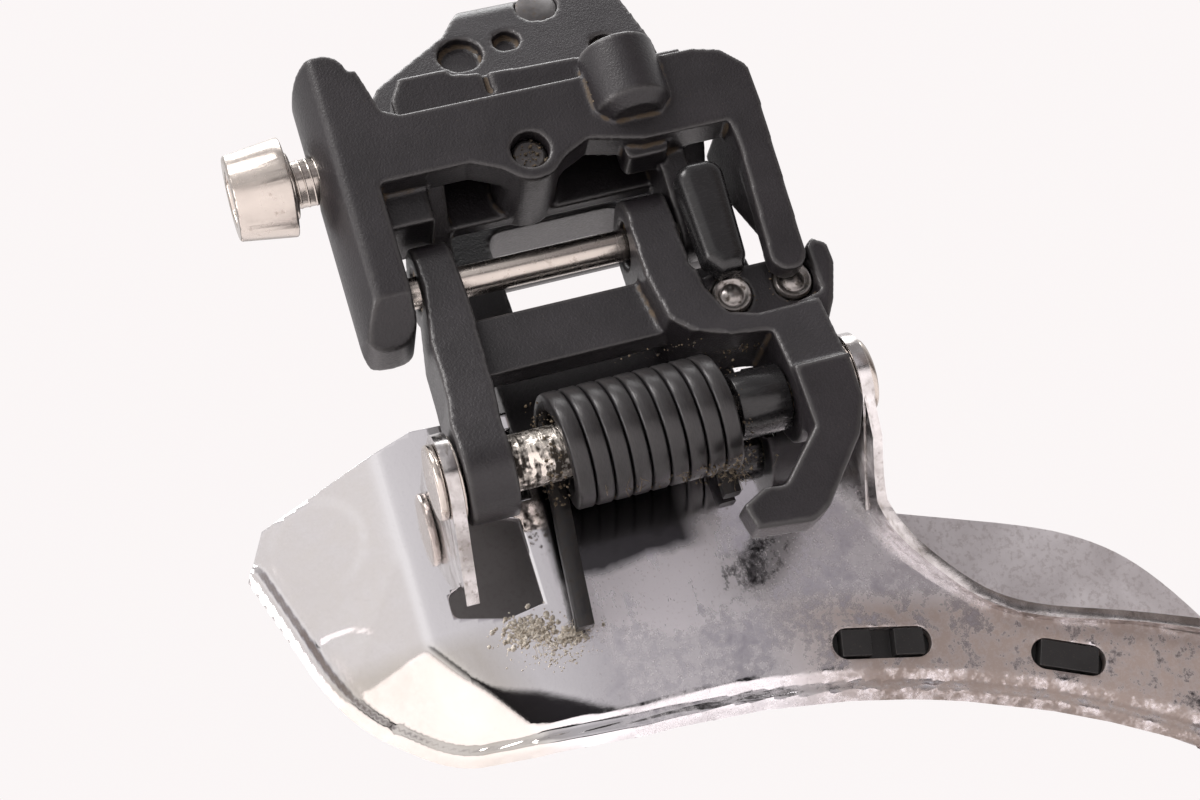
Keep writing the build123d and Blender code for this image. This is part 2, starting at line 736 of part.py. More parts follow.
cable_plane = Plane(
    origin=(cable_bolt_x, arm_top[0], arm_top[1]),
    x_dir=(1, 0, 0),
    z_dir=(0, math.cos(math.radians(arm_lean)), -math.sin(math.radians(arm_lean))),
)
with BuildPart(mode=Mode.PRIVATE) as cable_bore:
    with BuildSketch(cable_plane.offset(-8)):
        Circle(cable_bolt_radius)
    extrude(amount=16)
with BuildPart(mode=Mode.PRIVATE) as arm_recesses:
    for recess_x, recess_up, recess_radius in arm_recess_places:
        with BuildSketch(cable_plane.offset(-8)):
            with Locations((recess_x - cable_bolt_x, -recess_up)):
                Circle(recess_radius)
        extrude(amount=8 - 3.0 + arm_recess_depth)
outer_link.part = outer_link.part - cable_bore.part - arm_recesses.part

with BuildPart() as outer_link_bushes:
    bush(link_lug_gap_x + 0.2, 4.1, upper_outer)
    bush(link_right_x - 4.3, 4.1, upper_outer)

with BuildPart() as cable_clamp_plate:
    with BuildSketch(cable_plane.offset(3.0 + contact_gap)):
        RectangleRounded(8.0, 6.6, 1.2)
        Circle(cable_bolt_radius + 0.15, mode=Mode.SUBTRACT)
    extrude(amount=1.6)

with BuildPart() as cable_clamp_bolt:
    head_base = 3.0 + 2 * contact_gap + 1.6
    with BuildSketch(cable_plane.offset(-2.6)):
        Circle(cable_bolt_radius - thread_gap)
    extrude(amount=head_base + 2.6)
    with BuildSketch(cable_plane.offset(head_base)):
        Circle(4.0)
    extrude(amount=3.4)
    with BuildSketch(cable_plane.offset(head_base + 3.4)):
        RegularPolygon(radius=2.0, side_count=6, major_radius=False)
    extrude(amount=-2.6, mode=Mode.SUBTRACT)

# ---------------------------------------------------------------- cage inner plate
nose_tip = (-16.1, level(-37.0))
nose_top = (-13.6, level(-32.4))
tail_angle = 43.5
tail_tip = on_ring(outer_rim_radius + 6.0, tail_angle + 0.5)

with BuildPart() as cage_inner_plate:
    # bent strip seen from above: the nose is turned outboard, the tail a little too
    with BuildSketch(Plane.XY.offset(-95)):
        with BuildLine():
            Polyline(
                (-24, plate_y + nose_turn), (nose_fold_x, plate_y), (tail_fold_x, plate_y),
                (strip_end_x, plate_y + tail_turn), (strip_end_x, plate_y + tail_turn + sheet),
                (tail_fold_x, plate_y + sheet), (nose_fold_x, plate_y + sheet),
                (-24, plate_y + nose_turn + sheet), (-24, plate_y + nose_turn),
            )
        make_face()
    extrude(amount=75)
    with BuildSketch(facing(plate_y - 3)):
        with BuildLine():
            Polyline(
                on_ring(rim_radius, 0), (6.0, level(-61.9)), (1.0, level(-61.2)),
            )
            Spline(
                (1.0, level(-61.2)), (-4.8, level(-58.2)), (-9.8, level(-53.2)),
                (-13.4, level(-45.5)), nose_tip,
                tangents=((-1, 0.2), (-0.28, 1)),
            )
            Polyline(
                nose_tip, nose_top, (3.0, level(-27.0)), (link_lug_left_x + ear_sheet, level(-27.4)),
                (link_lug_left_x + ear_sheet, plate_notch_z), (link_lug_right_x, plate_notch_z),
                (link_lug_right_x, level(-29.0)), (flange_x, level(-29.6)), (flange_x, level(-44.0)),
            )
            Spline(
                (flange_x, level(-44.0)), (50.4, level(-53.2)), (55.8, level(-59.0)),
                (65.5, level(-63.2)), (75.4, level(-67.0)), tail_tip,
                tangents=((0, -1), (0.75, -0.66)),
            )
            Line(tail_tip, on_ring(rim_radius, tail_angle))
            ThreePointArc(
                on_ring(rim_radius, tail_angle), on_ring(rim_radius, tail_angle / 2),
                on_ring(rim_radius, 0),
            )
        make_face()
    extrude(amount=-20, mode=Mode.INTERSECT)
    # ears for the lower inner axle
    for ear_x in (left_ear_x, right_ear_x):
        with BuildSketch(across(ear_x)):
            with Locations(lower_inner):
                Circle(ear_radius)
            with Locations((plate_y + sheet / 2, level(-38.5))):
                Rectangle(sheet, 17.0)
            make_hull()
        extrude(amount=ear_sheet)
    # lugs for the lower outer axle
    for lug_side_x in (link_lug_left_x, link_lug_right_x):
        with BuildSketch(across(lug_side_x)):
            with Locations(lower_outer):
                Circle(2.9)
            with Locations((plate_y + sheet / 2, level(-33.4))):
                Rectangle(sheet, 7.0)
            make_hull()
        extrude(amount=ear_sheet)
    # window left by the bent ear
    with BuildSketch(facing(plate_y - 1)):
        with BuildLine():
            Polyline(
                (left_ear_x + ear_sheet, level(-36.4)), (11.0, level(-38.6)),
                (11.0, level(-47.6)), (7.2, level(-48.2)),
                (2.0, level(-46.8)), (2.0, level(-44.4)), (left_ear_x + ear_sheet, level(-43.4)),
                (left_ear_x + ear_sheet, level(-36.4)),
            )
        window_outline = make_face()
        fillet(window_outline.vertices().group_by(Axis.X)[0], 1.0)
        fillet(window_outline.vertices().group_by(Axis.X)[-1], 1.0)
    extrude(amount=-4, mode=Mode.SUBTRACT)
    # slots for the skid plate clips
    for slot_angle, slot_length in zip(slot_angles, slot_lengths):
        slot_x, slot_z = on_ring(slot_radius, slot_angle)
        with BuildSketch(facing(plate_y - 4)):
            with Locations((slot_x, slot_z)):
                SlotOverall(slot_length, slot_height, rotation=-slot_angle - slot_extra_turn)
        extrude(amount=-12, mode=Mode.SUBTRACT)
    # bead along the lower rim
    with BuildSketch(facing(plate_y - bead_height)):
        with BuildLine():
            ThreePointArc(
                on_ring(rim_radius, 0), on_ring(rim_radius, 15), on_ring(rim_radius, 30),
            )
            Line(on_ring(rim_radius, 30), on_ring(rim_radius + bead_width, 30))
            ThreePointArc(
                on_ring(rim_radius + bead_width, 30), on_ring(rim_radius + bead_width, 15),
                on_ring(rim_radius + bead_width, 0),
            )
            Line(on_ring(rim_radius + bead_width, 0), on_ring(rim_radius, 0))
        make_face()
    extrude(amount=-bead_height - 0.3)
    # bores: axles, nose rivet, tail screw
    with BuildSketch(across(left_ear_x - 2)):
        with Locations(lower_inner):
            Circle(axle_radius)
    extrude(amount=right_ear_x - left_ear_x + 6, mode=Mode.SUBTRACT)
    with BuildSketch(across(link_lug_left_x - 2)):
        with Locations(lower_outer):
            Circle(lower_outer_radius)
    extrude(amount=outer_link_width + 8, mode=Mode.SUBTRACT)
    with BuildSketch(facing(plate_y - 3)):
        with Locations((front_rivet_x, front_rivet_z)):
            Circle(front_rivet_radius)
        with Locations(on_ring(slot_radius, tail_screw_angle)):
            Circle(tail_screw_radius + 0.1)
    extrude(amount=-12, mode=Mode.SUBTRACT)

# flange along the hollow edge of the inner plate, tall beside the ear and low towards the tail
flange_outer_x = flange_x - flange_inset
flange_inner_x = flange_outer_x - flange_sheet
with BuildPart(mode=Mode.PRIVATE) as flange:
    with BuildSketch(facing(lower_y - ear_radius)):
        with BuildLine():
            Line((flange_outer_x, lower_z - 2.6), (flange_outer_x, level(-44.2)))
            Spline(
                (flange_outer_x, level(-44.2)), (50.1, level(-53.4)), (55.6, level(-59.3)),
                (65.3, level(-63.5)), (75.2, level(-67.3)),
                (82.8, level(-72.0)), tangents=((0, -1), (0.75, -0.66)),
            )
            Line((82.8, level(-72.0)), (82.1, level(-72.8)))
            Spline(
                (82.1, level(-72.8)), (74.7, level(-68.3)), (64.9, level(-64.5)),
                (54.8, level(-60.2)), (49.1, level(-53.9)),
                (flange_inner_x, level(-44.2)), tangents=((-0.75, 0.66), (0, 1)),
            )
            Line((flange_inner_x, level(-44.2)), (flange_inner_x, lower_z - 2.6))
            Line((flange_inner_x, lower_z - 2.6), (flange_outer_x, lower_z - 2.6))
        make_face()
    extrude(amount=-(plate_y + 1.0 - lower_y + ear_radius))
    with BuildSketch(across(flange_x - 2 * sheet)):
        with BuildLine():
            Polyline(
                (plate_y + 3, lower_z), (lower_y - ear_radius + 0.9, lower_z),
                (lower_y - ear_radius + 1.2, lower_z - 3.0),
                (lower_y - 1.6, lower_z - 7.0), (plate_y - flange_height - 1.7, lower_z - 12.0),
                (plate_y - flange_height - 0.7, lower_z - 17.0),
                (plate_y - flange_height, lower_z - 23.0),
                (plate_y - flange_height + 0.2, level(-90)),
                (plate_y + 3, level(-90)), (plate_y + 3, lower_z),
            )
        make_face()
    extrude(amount=45, mode=Mode.INTERSECT)
cage_inner_plate.part = cage_inner_plate.part + flange.part

# ---------------------------------------------------------------- cage outer plate
outer_plate_y = plate_y + sheet + cage_width

with BuildPart() as cage_outer_plate:
    with BuildSketch(Plane.XY.offset(-95)):
        with BuildLine():
            Polyline(
                (-26, outer_plate_y + 3.4), (-6, outer_plate_y), (tail_fold_x, outer_plate_y),
                (strip_end_x, outer_plate_y + tail_turn),
                (strip_end_x, outer_plate_y + tail_turn + sheet),
                (tail_fold_x, outer_plate_y + sheet), (-6, outer_plate_y + sheet),
                (-26, outer_plate_y + 3.4 + sheet), (-26, outer_plate_y + 3.4),
            )
        make_face()
    extrude(amount=75)
    with BuildSketch(facing(outer_plate_y - 3)):
        with BuildLine():
            Line(on_ring(outer_rim_radius, 0), (9.0, level(-57.4)))
            Spline(
                (9.0, level(-57.4)), (0.0, level(-54.4)), (-6.5, level(-47.6)), (-10.0, level(-39.0)),
                tangents=((-1, 0.1), (-0.3, 1)),
            )
            Polyline(
                (-10.0, level(-39.0)), (-7.0, level(-34.0)), (2.0, level(-30.6)), (14.0, level(-30.6)),
                (30.0, level(-36.0)), (44.0, level(-42.0)),
            )
            Spline(
                (44.0, level(-42.0)), (59.6, level(-47.0)),
                (76.0, level(-55.2)), on_ring(outer_rim_radius + 9.0, 43),
                tangents=((1, -0.2), (0.7, -0.7)),
            )
            Line(on_ring(outer_rim_radius + 9.0, 43), on_ring(outer_rim_radius, tail_angle))
            ThreePointArc(
                on_ring(outer_rim_radius, tail_angle), on_ring(outer_rim_radius, tail_angle / 2),
                on_ring(outer_rim_radius, 0),
            )
        make_face()
    extrude(amount=-24, mode=Mode.INTERSECT)
    # bridge over the chain, lapped on the inner plate behind the front ear
    lap_y = plate_y + sheet + contact_gap
    with BuildSketch(across(front_rivet_x - bridge_half_width)):
        with BuildLine():
            Polyline(
                (outer_plate_y + sheet, level(-40.0)), (outer_plate_y + sheet, bridge_z + sheet),
                (lap_y, bridge_z + sheet), (lap_y, front_rivet_z - 2.6),
                (lap_y + sheet, front_rivet_z - 2.6), (lap_y + sheet, bridge_z),
                (outer_plate_y, bridge_z), (outer_plate_y, level(-40.0)),
                (outer_plate_y + sheet, level(-40.0)),
            )
        make_face()
    extrude(amount=2 * bridge_half_width)
    with BuildSketch(facing(plate_y)):
        with Locations((front_rivet_x, front_rivet_z)):
            Circle(front_rivet_radius)
    extrude(amount=-6, mode=Mode.SUBTRACT)
    with BuildSketch(facing(outer_plate_y - 3)):
        with Locations(on_ring(slot_radius, tail_screw_angle)):
            Circle(tail_screw_radius + 0.1)
    extrude(amount=-10, mode=Mode.SUBTRACT)

# ---------------------------------------------------------------- cage fasteners
with BuildPart() as front_rivet:
    with BuildSketch(facing(plate_y - 0.8)):
        with Locations((front_rivet_x, front_rivet_z)):
            Circle(2.2)
    extrude(amount=-0.8)
    with BuildSketch(facing(plate_y)):
        with Locations((front_rivet_x, front_rivet_z)):
            Circle(front_rivet_radius - press_gap)
    extrude(amount=-(2 * sheet + contact_gap))
    with BuildSketch(facing(plate_y + 2 * sheet + contact_gap)):
        with Locations((front_rivet_x, front_rivet_z)):
            Circle(2.2)
    extrude(amount=-0.8)

tail_x, tail_z = on_ring(slot_radius, tail_screw_angle)
tail_shift = tail_turn * (tail_x - tail_fold_x) / (strip_end_x - tail_fold_x)
tail_sheet_y = plate_y + tail_shift
tail_outer_y = outer_plate_y + tail_shift

with BuildPart() as tail_spacer:
    with BuildSketch(facing(tail_sheet_y + sheet + 0.2)):
        with Locations((tail_x, tail_z)):
            Circle(3.0)
            Circle(tail_screw_radius + 0.1, mode=Mode.SUBTRACT)
    extrude(amount=-(tail_outer_y - tail_sheet_y - sheet - 0.4))

with BuildPart() as tail_screw:
    with BuildSketch(facing(tail_sheet_y - 0.3)):
        with Locations((tail_x, tail_z)):
            Circle(tail_screw_radius)
    extrude(amount=-(tail_outer_y - tail_sheet_y + sheet + 0.6))
    with BuildSketch(facing(tail_outer_y + sheet + 0.3)):
        with Locations((tail_x, tail_z)):
            Circle(2.9)
    extrude(amount=-1.8)
    with BuildSketch(facing(tail_outer_y + sheet + 2.1)):
        with Locations((tail_x, tail_z)):
            RegularPolygon(radius=1.0, side_count=6, major_radius=False)
    extrude(amount=1.3, mode=Mode.SUBTRACT)

with BuildPart() as skid_plate:
    skid_y = plate_y + sheet + 0.15
    with BuildSketch(facing(skid_y)):
        with BuildLine():
            start = slot_angles[0] - 4.5
            end = slot_angles[1] + 3.5
            low = slot_radius - 2.6
            high = slot_radius + 2.6
            Line(on_ring(low, start), on_ring(high, start))
            ThreePointArc(on_ring(high, start), on_ring(high, (start + end) / 2), on_ring(high, end))
            Line(on_ring(high, end), on_ring(low, end))
            ThreePointArc(on_ring(low, end), on_ring(low, (start + end) / 2), on_ring(low, start))
        make_face()
    extrude(amount=-1.4)
    for slot_angle, slot_length in zip(slot_angles[:2], slot_lengths[:2]):
        slot_x, slot_z = on_ring(slot_radius, slot_angle)
        turn = -slot_angle - slot_extra_turn
        for side in (-1, 1):
            reach = (slot_length - clip_length) / 2 - clip_end_gap
            clip_x = slot_x + side * reach * math.cos(math.radians(turn))
            clip_z = slot_z + side * reach * math.sin(math.radians(turn))
            with BuildSketch(facing(plate_y - clip_proud)):
                with Locations((clip_x, clip_z)):
                    Rectangle(clip_length, slot_height - 0.5, rotation=turn)
            extrude(amount=-(clip_proud + sheet + 0.3))

# ---------------------------------------------------------------- spring, bush and washers
with BuildPart() as torsion_spring:
    coil_axis_radius = spring_radius - wire_height / 2
    coil = Helix(
        pitch=spring_pitch, height=spring_pitch * (spring_turns - 0.25), radius=coil_axis_radius,
        center=(spring_x + wire_width / 2, lower_y, lower_z), direction=(1, 0, 0),
        mode=Mode.PRIVATE,
    )
    with BuildSketch(Plane(origin=coil @ 0, z_dir=coil % 0, x_dir=(1, 0, 0))):
        Rectangle(wire_width, wire_height)
    sweep(path=coil, is_frenet=True)

with BuildPart() as spring_bush:
    with BuildSketch(across(bush_spring_x)):
        with Locations(lower_inner):
            Circle(3.4)
            Circle(bush_bore, mode=Mode.SUBTRACT)
    extrude(amount=right_boss_x - side_gap - bush_spring_x)

with BuildPart() as spring_sleeve:
    with BuildSketch(across(left_boss_x + left_boss_length + side_gap)):
        with Locations(lower_inner):
            Circle(2.8)
            Circle(bush_bore, mode=Mode.SUBTRACT)
    extrude(amount=bush_spring_x - side_gap - left_boss_x - left_boss_length - side_gap)


def side_washer(x):
    """Thin washer between a cage ear and a link boss."""
    with BuildSketch(across(x)) as ring:
        with Locations(lower_inner):
            Circle(4.2)
            Circle(bush_bore, mode=Mode.SUBTRACT)
    extrude(ring.sketch, amount=washer_thickness)


with BuildPart() as side_washers:
    side_washer(left_ear_x + ear_sheet + contact_gap)
    side_washer(right_ear_x - washer_thickness - contact_gap)

# ---------------------------------------------------------------- write the pieces
pieces = {
    "base_member": base_member,
    "stop_block": stop_block,
    "clamp_bolt": clamp_bolt,
    "support_bolt": support_bolt,
    "upper_inner_axle": upper_inner_axle,
    "upper_outer_axle": upper_outer_axle,
    "axle_rings": axle_rings,
    "inner_link": inner_link,
    "inner_link_bushes": inner_link_bushes,
    "low_limit_screw": low_limit_screw,
    "high_limit_screw": high_limit_screw,
    "outer_link": outer_link,
    "outer_link_bushes": outer_link_bushes,
    "cable_clamp_plate": cable_clamp_plate,
    "cable_clamp_bolt": cable_clamp_bolt,
    "cage_inner_plate": cage_inner_plate,
    "cage_outer_plate": cage_outer_plate,
    "lower_inner_axle": lower_inner_axle,
    "lower_outer_axle": lower_outer_axle,
    "front_rivet": front_rivet,
    "tail_spacer": tail_spacer,
    "tail_screw": tail_screw,
    "skid_plate": skid_plate,
    "torsion_spring": torsion_spring,
    "spring_bush": spring_bush,
    "spring_sleeve": spring_sleeve,
    "side_washers": side_washers,
}

os.makedirs("parts", exist_ok=True)
for name, piece in pieces.items():
    piece.part.label = name
    export_step(piece.part, f"parts/{name}.step")
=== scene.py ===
import math
import random

import bmesh
import bpy
import numpy as np
from bpy.props import FloatProperty, FloatVectorProperty, IntProperty, PointerProperty
from mathutils import Matrix, Vector


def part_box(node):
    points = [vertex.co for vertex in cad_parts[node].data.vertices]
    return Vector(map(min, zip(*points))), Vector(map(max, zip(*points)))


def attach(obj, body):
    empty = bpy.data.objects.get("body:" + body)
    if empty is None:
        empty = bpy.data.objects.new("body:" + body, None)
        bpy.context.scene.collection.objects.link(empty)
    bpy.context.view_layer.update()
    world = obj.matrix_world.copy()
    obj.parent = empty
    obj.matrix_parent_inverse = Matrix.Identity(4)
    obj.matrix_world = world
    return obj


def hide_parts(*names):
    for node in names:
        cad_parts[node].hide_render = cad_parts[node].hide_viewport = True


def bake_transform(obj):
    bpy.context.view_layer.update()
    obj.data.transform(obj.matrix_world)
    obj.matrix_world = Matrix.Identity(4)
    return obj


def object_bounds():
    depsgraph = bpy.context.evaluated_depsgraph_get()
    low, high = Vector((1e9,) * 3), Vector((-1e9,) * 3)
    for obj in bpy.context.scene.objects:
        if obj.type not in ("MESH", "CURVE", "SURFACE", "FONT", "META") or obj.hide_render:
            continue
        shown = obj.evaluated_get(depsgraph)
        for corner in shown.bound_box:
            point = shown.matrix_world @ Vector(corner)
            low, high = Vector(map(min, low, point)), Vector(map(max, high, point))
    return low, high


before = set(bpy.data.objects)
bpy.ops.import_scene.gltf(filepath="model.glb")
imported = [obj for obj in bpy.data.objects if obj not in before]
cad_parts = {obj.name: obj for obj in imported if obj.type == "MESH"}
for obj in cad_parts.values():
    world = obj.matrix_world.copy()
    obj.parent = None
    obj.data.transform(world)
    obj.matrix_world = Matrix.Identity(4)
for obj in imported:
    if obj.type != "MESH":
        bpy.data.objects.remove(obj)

bl_info = {
    "name": "Front derailleur",
    "version": (1, 0, 0),
    "blender": (4, 5, 0),
    "location": "View3D > Sidebar > Derailleur",
    "description": "Builds the castings, chrome cage, spring and screws of a front derailleur",
    "category": "Object",
}

MM = 0.001
CAD_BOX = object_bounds()
# distances from the chainring's centre: outside of the bead, and in millimetres the rim and the facet
BEAD_RING = 100.2 * MM
RIM_RING = 98.6
FACET_RING = 98.9


def middle(node):
    """Centre of a CAD node's box."""
    low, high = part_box(node)
    return (low + high) / 2


# ---------------------------------------------------------------- shader arithmetic
class Sum:
    """A number socket that takes part in arithmetic; every operator adds its Math node."""

    def __init__(self, paint, socket):
        self.paint = paint
        self.socket = socket

    def math(self, operation, *others, clamp=False):
        return self.paint.math(operation, self, *others, clamp=clamp)

    def __add__(self, other):
        return self.math("ADD", other)

    def __radd__(self, other):
        return self.math("ADD", other)

    def __sub__(self, other):
        return self.math("SUBTRACT", other)

    def __rsub__(self, other):
        return self.paint.math("SUBTRACT", other, self)

    def __mul__(self, other):
        return self.math("MULTIPLY", other)

    def __rmul__(self, other):
        return self.math("MULTIPLY", other)

    def __truediv__(self, other):
        return self.math("DIVIDE", other)

    def __rtruediv__(self, other):
        return self.paint.math("DIVIDE", other, self)

    def clamped(self):
        return self.math("ADD", 0.0, clamp=True)

    def over(self, low, high):
        """0 below low, 1 above high, straight between."""
        return self.math("SUBTRACT", low).math("DIVIDE", high - low, clamp=True)


class Paint:
    """One procedural finish and the nodes that it is made from."""

    def __init__(self, name):
        self.material = bpy.data.materials.get(name) or bpy.data.materials.new(name)
        self.material.use_nodes = True
        self.tree = self.material.node_tree
        self.tree.nodes.clear()
        self.place = self.node("ShaderNodeTexCoord").outputs["Object"]

    def node(self, kind, settings=None, inputs=None):
        made = self.tree.nodes.new(kind)
        for name, value in (settings or {}).items():
            setattr(made, name, value)
        for name, value in (inputs or {}).items():
            self.feed(made.inputs[name], value)
        return made

    def feed(self, socket, value):
        if isinstance(value, Sum):
            value = value.socket
        if isinstance(value, bpy.types.NodeSocket):
            self.tree.links.new(value, socket)
        elif isinstance(value, (tuple, list)) and socket.type == "RGBA" and len(value) == 3:
            socket.default_value = (*value, 1.0)
        else:
            socket.default_value = value

    def math(self, operation, *values, clamp=False):
        made = self.node("ShaderNodeMath", {"operation": operation, "use_clamp": clamp})
        for socket, value in zip(made.inputs, values):
            self.feed(socket, value)
        return Sum(self, made.outputs[0])

    def mix(self, share, first, second):
        """Colour between first and second."""
        made = self.node("ShaderNodeMix", {"data_type": "RGBA"})
        self.feed(made.inputs[0], share)
        self.feed(made.inputs[6], first)
        self.feed(made.inputs[7], second)
        return made.outputs[2]

    def grain(self, size, detail=3.0, rough=0.55, stretch=None, warp=0.0):
        """Cloudy noise from 0 to 1 whose blobs are about size metres across."""
        place = self.place
        if stretch:
            place = self.node("ShaderNodeMapping", None, {"Vector": place, "Scale": stretch}).outputs[0]
        made = self.node("ShaderNodeTexNoise", {"noise_dimensions": "3D"}, {
            "Vector": place, "Scale": 1.0 / size, "Detail": detail, "Roughness": rough,
            "Distortion": warp,
        })
        return Sum(self, made.outputs[0])

    def along(self, axis):
        """Object coordinate along X, Y or Z in metres."""
        made = self.node("ShaderNodeSeparateXYZ", None, {"Vector": self.place})
        return Sum(self, made.outputs[axis])

    def marked(self, name):
        """A number kept on the mesh's points."""
        made = self.node("ShaderNodeAttribute", {"attribute_type": "GEOMETRY", "attribute_name": name})
        return Sum(self, made.outputs["Fac"])

    def bump(self, height, depth, strength=1.0, after=None):
        made = self.node("ShaderNodeBump", None, {
            "Height": height, "Distance": depth, "Strength": strength,
        })
        if after is not None:
            self.feed(made.inputs["Normal"], after)
        return made.outputs[0]

    def finish(self, **values):
        """Principled shader; names are its sockets with underscores for spaces."""
        named = {key.replace("_", " "): value for key, value in values.items()}
        shader = self.node("ShaderNodeBsdfPrincipled", None, named)
        end = self.node("ShaderNodeOutputMaterial")
        self.tree.links.new(shader.outputs[0], end.inputs[0])
        return self.material


# ---------------------------------------------------------------- sizes and colours
def length(title, about, size):
    """A setting that is a length; size is in millimetres."""
    return FloatProperty(
        name=title, description=about, default=size * MM, subtype="DISTANCE", unit="LENGTH", precision=6)


def tint(title, about, colour):
    """A setting that is a colour."""
    return FloatVectorProperty(name=title, description=about, subtype="COLOR", default=colour)


class CastingSettings(bpy.types.PropertyGroup):
    """Sizes and colours of the black alloy castings."""
    voxel: length("Surface step", "Spacing of the points on a casting", 0.26)
    passes: IntProperty(
        name="Softness", description="How many times the corners are eased", default=5, min=0, max=30)
    colour: tint("Alloy colour", "Painted alloy", (0.0185, 0.0160, 0.0182))
    worn_colour: tint("Worn colour", "Rubbed corners", (0.085, 0.08, 0.08))
    dust_colour: tint("Dust colour", "Dry dirt in the corners", (0.15, 0.105, 0.06))
    grain: length("Grain", "Size of the paint's grain", 0.16)


class CageSettings(bpy.types.PropertyGroup):
    """Sizes and colours of the chrome cage."""
    plate_y: length("Plate place", "Inboard face of the inner plate", 5.0)
    sheet: length("Sheet", "Thickness of the sheet", 1.2)
    nose_fold: length("Nose fold", "Where the nose turns outboard", -1.4)
    nose_slope: FloatProperty(name="Nose slope", description="Turn of the nose", default=6.0 / 22.6)
    tail_fold: length("Tail fold", "Where the tail turns outboard", 70)
    tail_slope: FloatProperty(name="Tail slope", description="Turn of the tail", default=1.4 / 26)
    facet_slope: FloatProperty(name="Facet slope", description="Turn of the lower facet", default=0.055)
    ring_x: length("Ring X", "Centre that the lower rim follows", 17)
    ring_z: length("Ring Z", "Centre that the lower rim follows", -159)
    lip_width: length("Lip width", "Rolled lip along the lower rim", 1.9)
    lip_height: length("Lip height", "How far the lip stands inboard", 0.75)
    fine: length("Fine step", "Grid on the nose", 0.45)
    coarse: length("Coarse step", "Grid on the tail", 0.8)
    edge: length("Edge rounding", "Radius on the sheet's edges", 0.22)
    colour: tint("Chrome colour", "Plated sheet", (0.80, 0.785, 0.80))
    stain_colour: tint("Stain colour", "Brown film on the tail", (0.40, 0.30, 0.25))


class SpringSettings(bpy.types.PropertyGroup):
    """Sizes and colours of the return spring."""
    radius: length("Coil radius", "Outside radius", 5.95)
    wire: length("Wire width", "Along the axle", 1.78)
    height: length("Wire height", "From the coil's inside to its outside", 1.7)
    turns: FloatProperty(name="Turns", description="Turns of the coil", default=9.0)
    pitch: length("Pitch", "From one turn to the next", 1.90)
    colour: tint("Wire colour", "Black wire", (0.016, 0.0150, 0.016))


class HardwareSettings(bpy.types.PropertyGroup):
    """Sizes and colours of the screws and axles."""
    thread_pitch: length("Thread pitch", "Of the clamp bolt", 0.8)
    steel_colour: tint("Steel colour", "Bright steel", (0.50, 0.455, 0.415))
    dark_colour: tint("Dark steel colour", "Blackened steel", (0.10, 0.095, 0.095))
    bronze_colour: tint("Bronze colour", "Bearing bushes", (0.36, 0.24, 0.12))


class StageSettings(bpy.types.PropertyGroup):
    """The camera, the floor and the lights."""
    camera_place: FloatVectorProperty(
        name="Camera place", description="Where the camera stands", subtype="XYZ", unit="LENGTH",
        default=(-23.3 * MM, -194.2 * MM, -95.0 * MM))
    heading: FloatProperty(
        name="Heading", description="Turn of the view to the rear", default=math.radians(13.0),
        subtype="ANGLE")
    rise: FloatProperty(
        name="Rise", description="How far the camera looks up", default=math.radians(18.0), subtype="ANGLE")
    roll: FloatProperty(
        name="Roll", description="Turn of the camera about its own axis", default=math.radians(18.0),
        subtype="ANGLE")
    lens: FloatProperty(name="Lens", description="Focal length in millimetres", default=63.0)
    floor_drop: length("Floor drop", "Floor below the lowest point", 8.5)
    pale: tint("Backdrop", "Pale studio colour", (0.965, 0.925, 0.925))


# ---------------------------------------------------------------- finishes
def paint_casting():
    """Satin black painted alloy, rubbed at the corners, with dry dirt in the hollows."""
    wish = bpy.context.scene.fd_casting
    p = Paint("black_alloy")
    cloud = p.grain(6 * MM)
    fine = p.grain(0.5 * MM, detail=4.0)
    pores = p.grain(wish.grain * 1.5, detail=2.0)
    worn = (p.marked("edge") * 1.5 + (fine - 0.5) * 0.5).over(0.30, 0.95)
    dirt = (p.marked("hollow") * 1.4 + (p.grain(1.3 * MM, detail=5.0) - 0.5) * 1.5).over(0.72, 1.15)
    specks = p.grain(0.28 * MM, detail=2.0).over(0.70, 0.76) * 0.35
    low = tuple(wish.colour)
    high = tuple(c * 1.7 for c in low)
    colour = p.mix(cloud.over(0.3, 0.7), low, high)
    colour = p.mix(pores.over(0.30, 0.70) * 0.55, colour, tuple(c * 0.45 for c in low))
    colour = p.mix(worn * 0.6, colour, tuple(wish.worn_colour))
    colour = p.mix((dirt * 0.6 + specks * cloud).clamped(), colour, tuple(wish.dust_colour))
    rough = 0.34 + cloud * 0.10 - worn * 0.06 + dirt * 0.3 + (fine - 0.5) * 0.12 + (pores - 0.5) * 0.25
    grain = p.bump(pores, 0.05 * MM, 0.75)
    normal = p.bump(p.grain(2.4 * MM, detail=2.0), 0.08 * MM, 0.35, after=grain)
    return p.finish(Base_Color=colour, Roughness=rough, Normal=normal)


def paint_smooth_black():
    """Glossier moulded black of the stop block and the bush beside the spring."""
    p = Paint("smooth_black")
    cloud = p.grain(3 * MM)
    rub = p.grain(0.9 * MM, detail=5.0, stretch=(1.0, 1.0, 3.0)).over(0.5, 0.75)
    colour = p.mix(cloud, (0.011, 0.0105, 0.011), (0.020, 0.019, 0.020))
    colour = p.mix(p.marked("edge").over(0.4, 1.0) * 0.5, colour, (0.06, 0.055, 0.055))
    colour = p.mix(p.marked("hollow").over(0.4, 1.0) * rub, colour, (0.12, 0.09, 0.055))
    rough = 0.22 + rub * 0.14 + cloud * 0.06
    normal = p.bump(p.grain(0.7 * MM, detail=3.0), 0.03 * MM, 0.3)
    return p.finish(Base_Color=colour, Roughness=rough, Normal=normal)


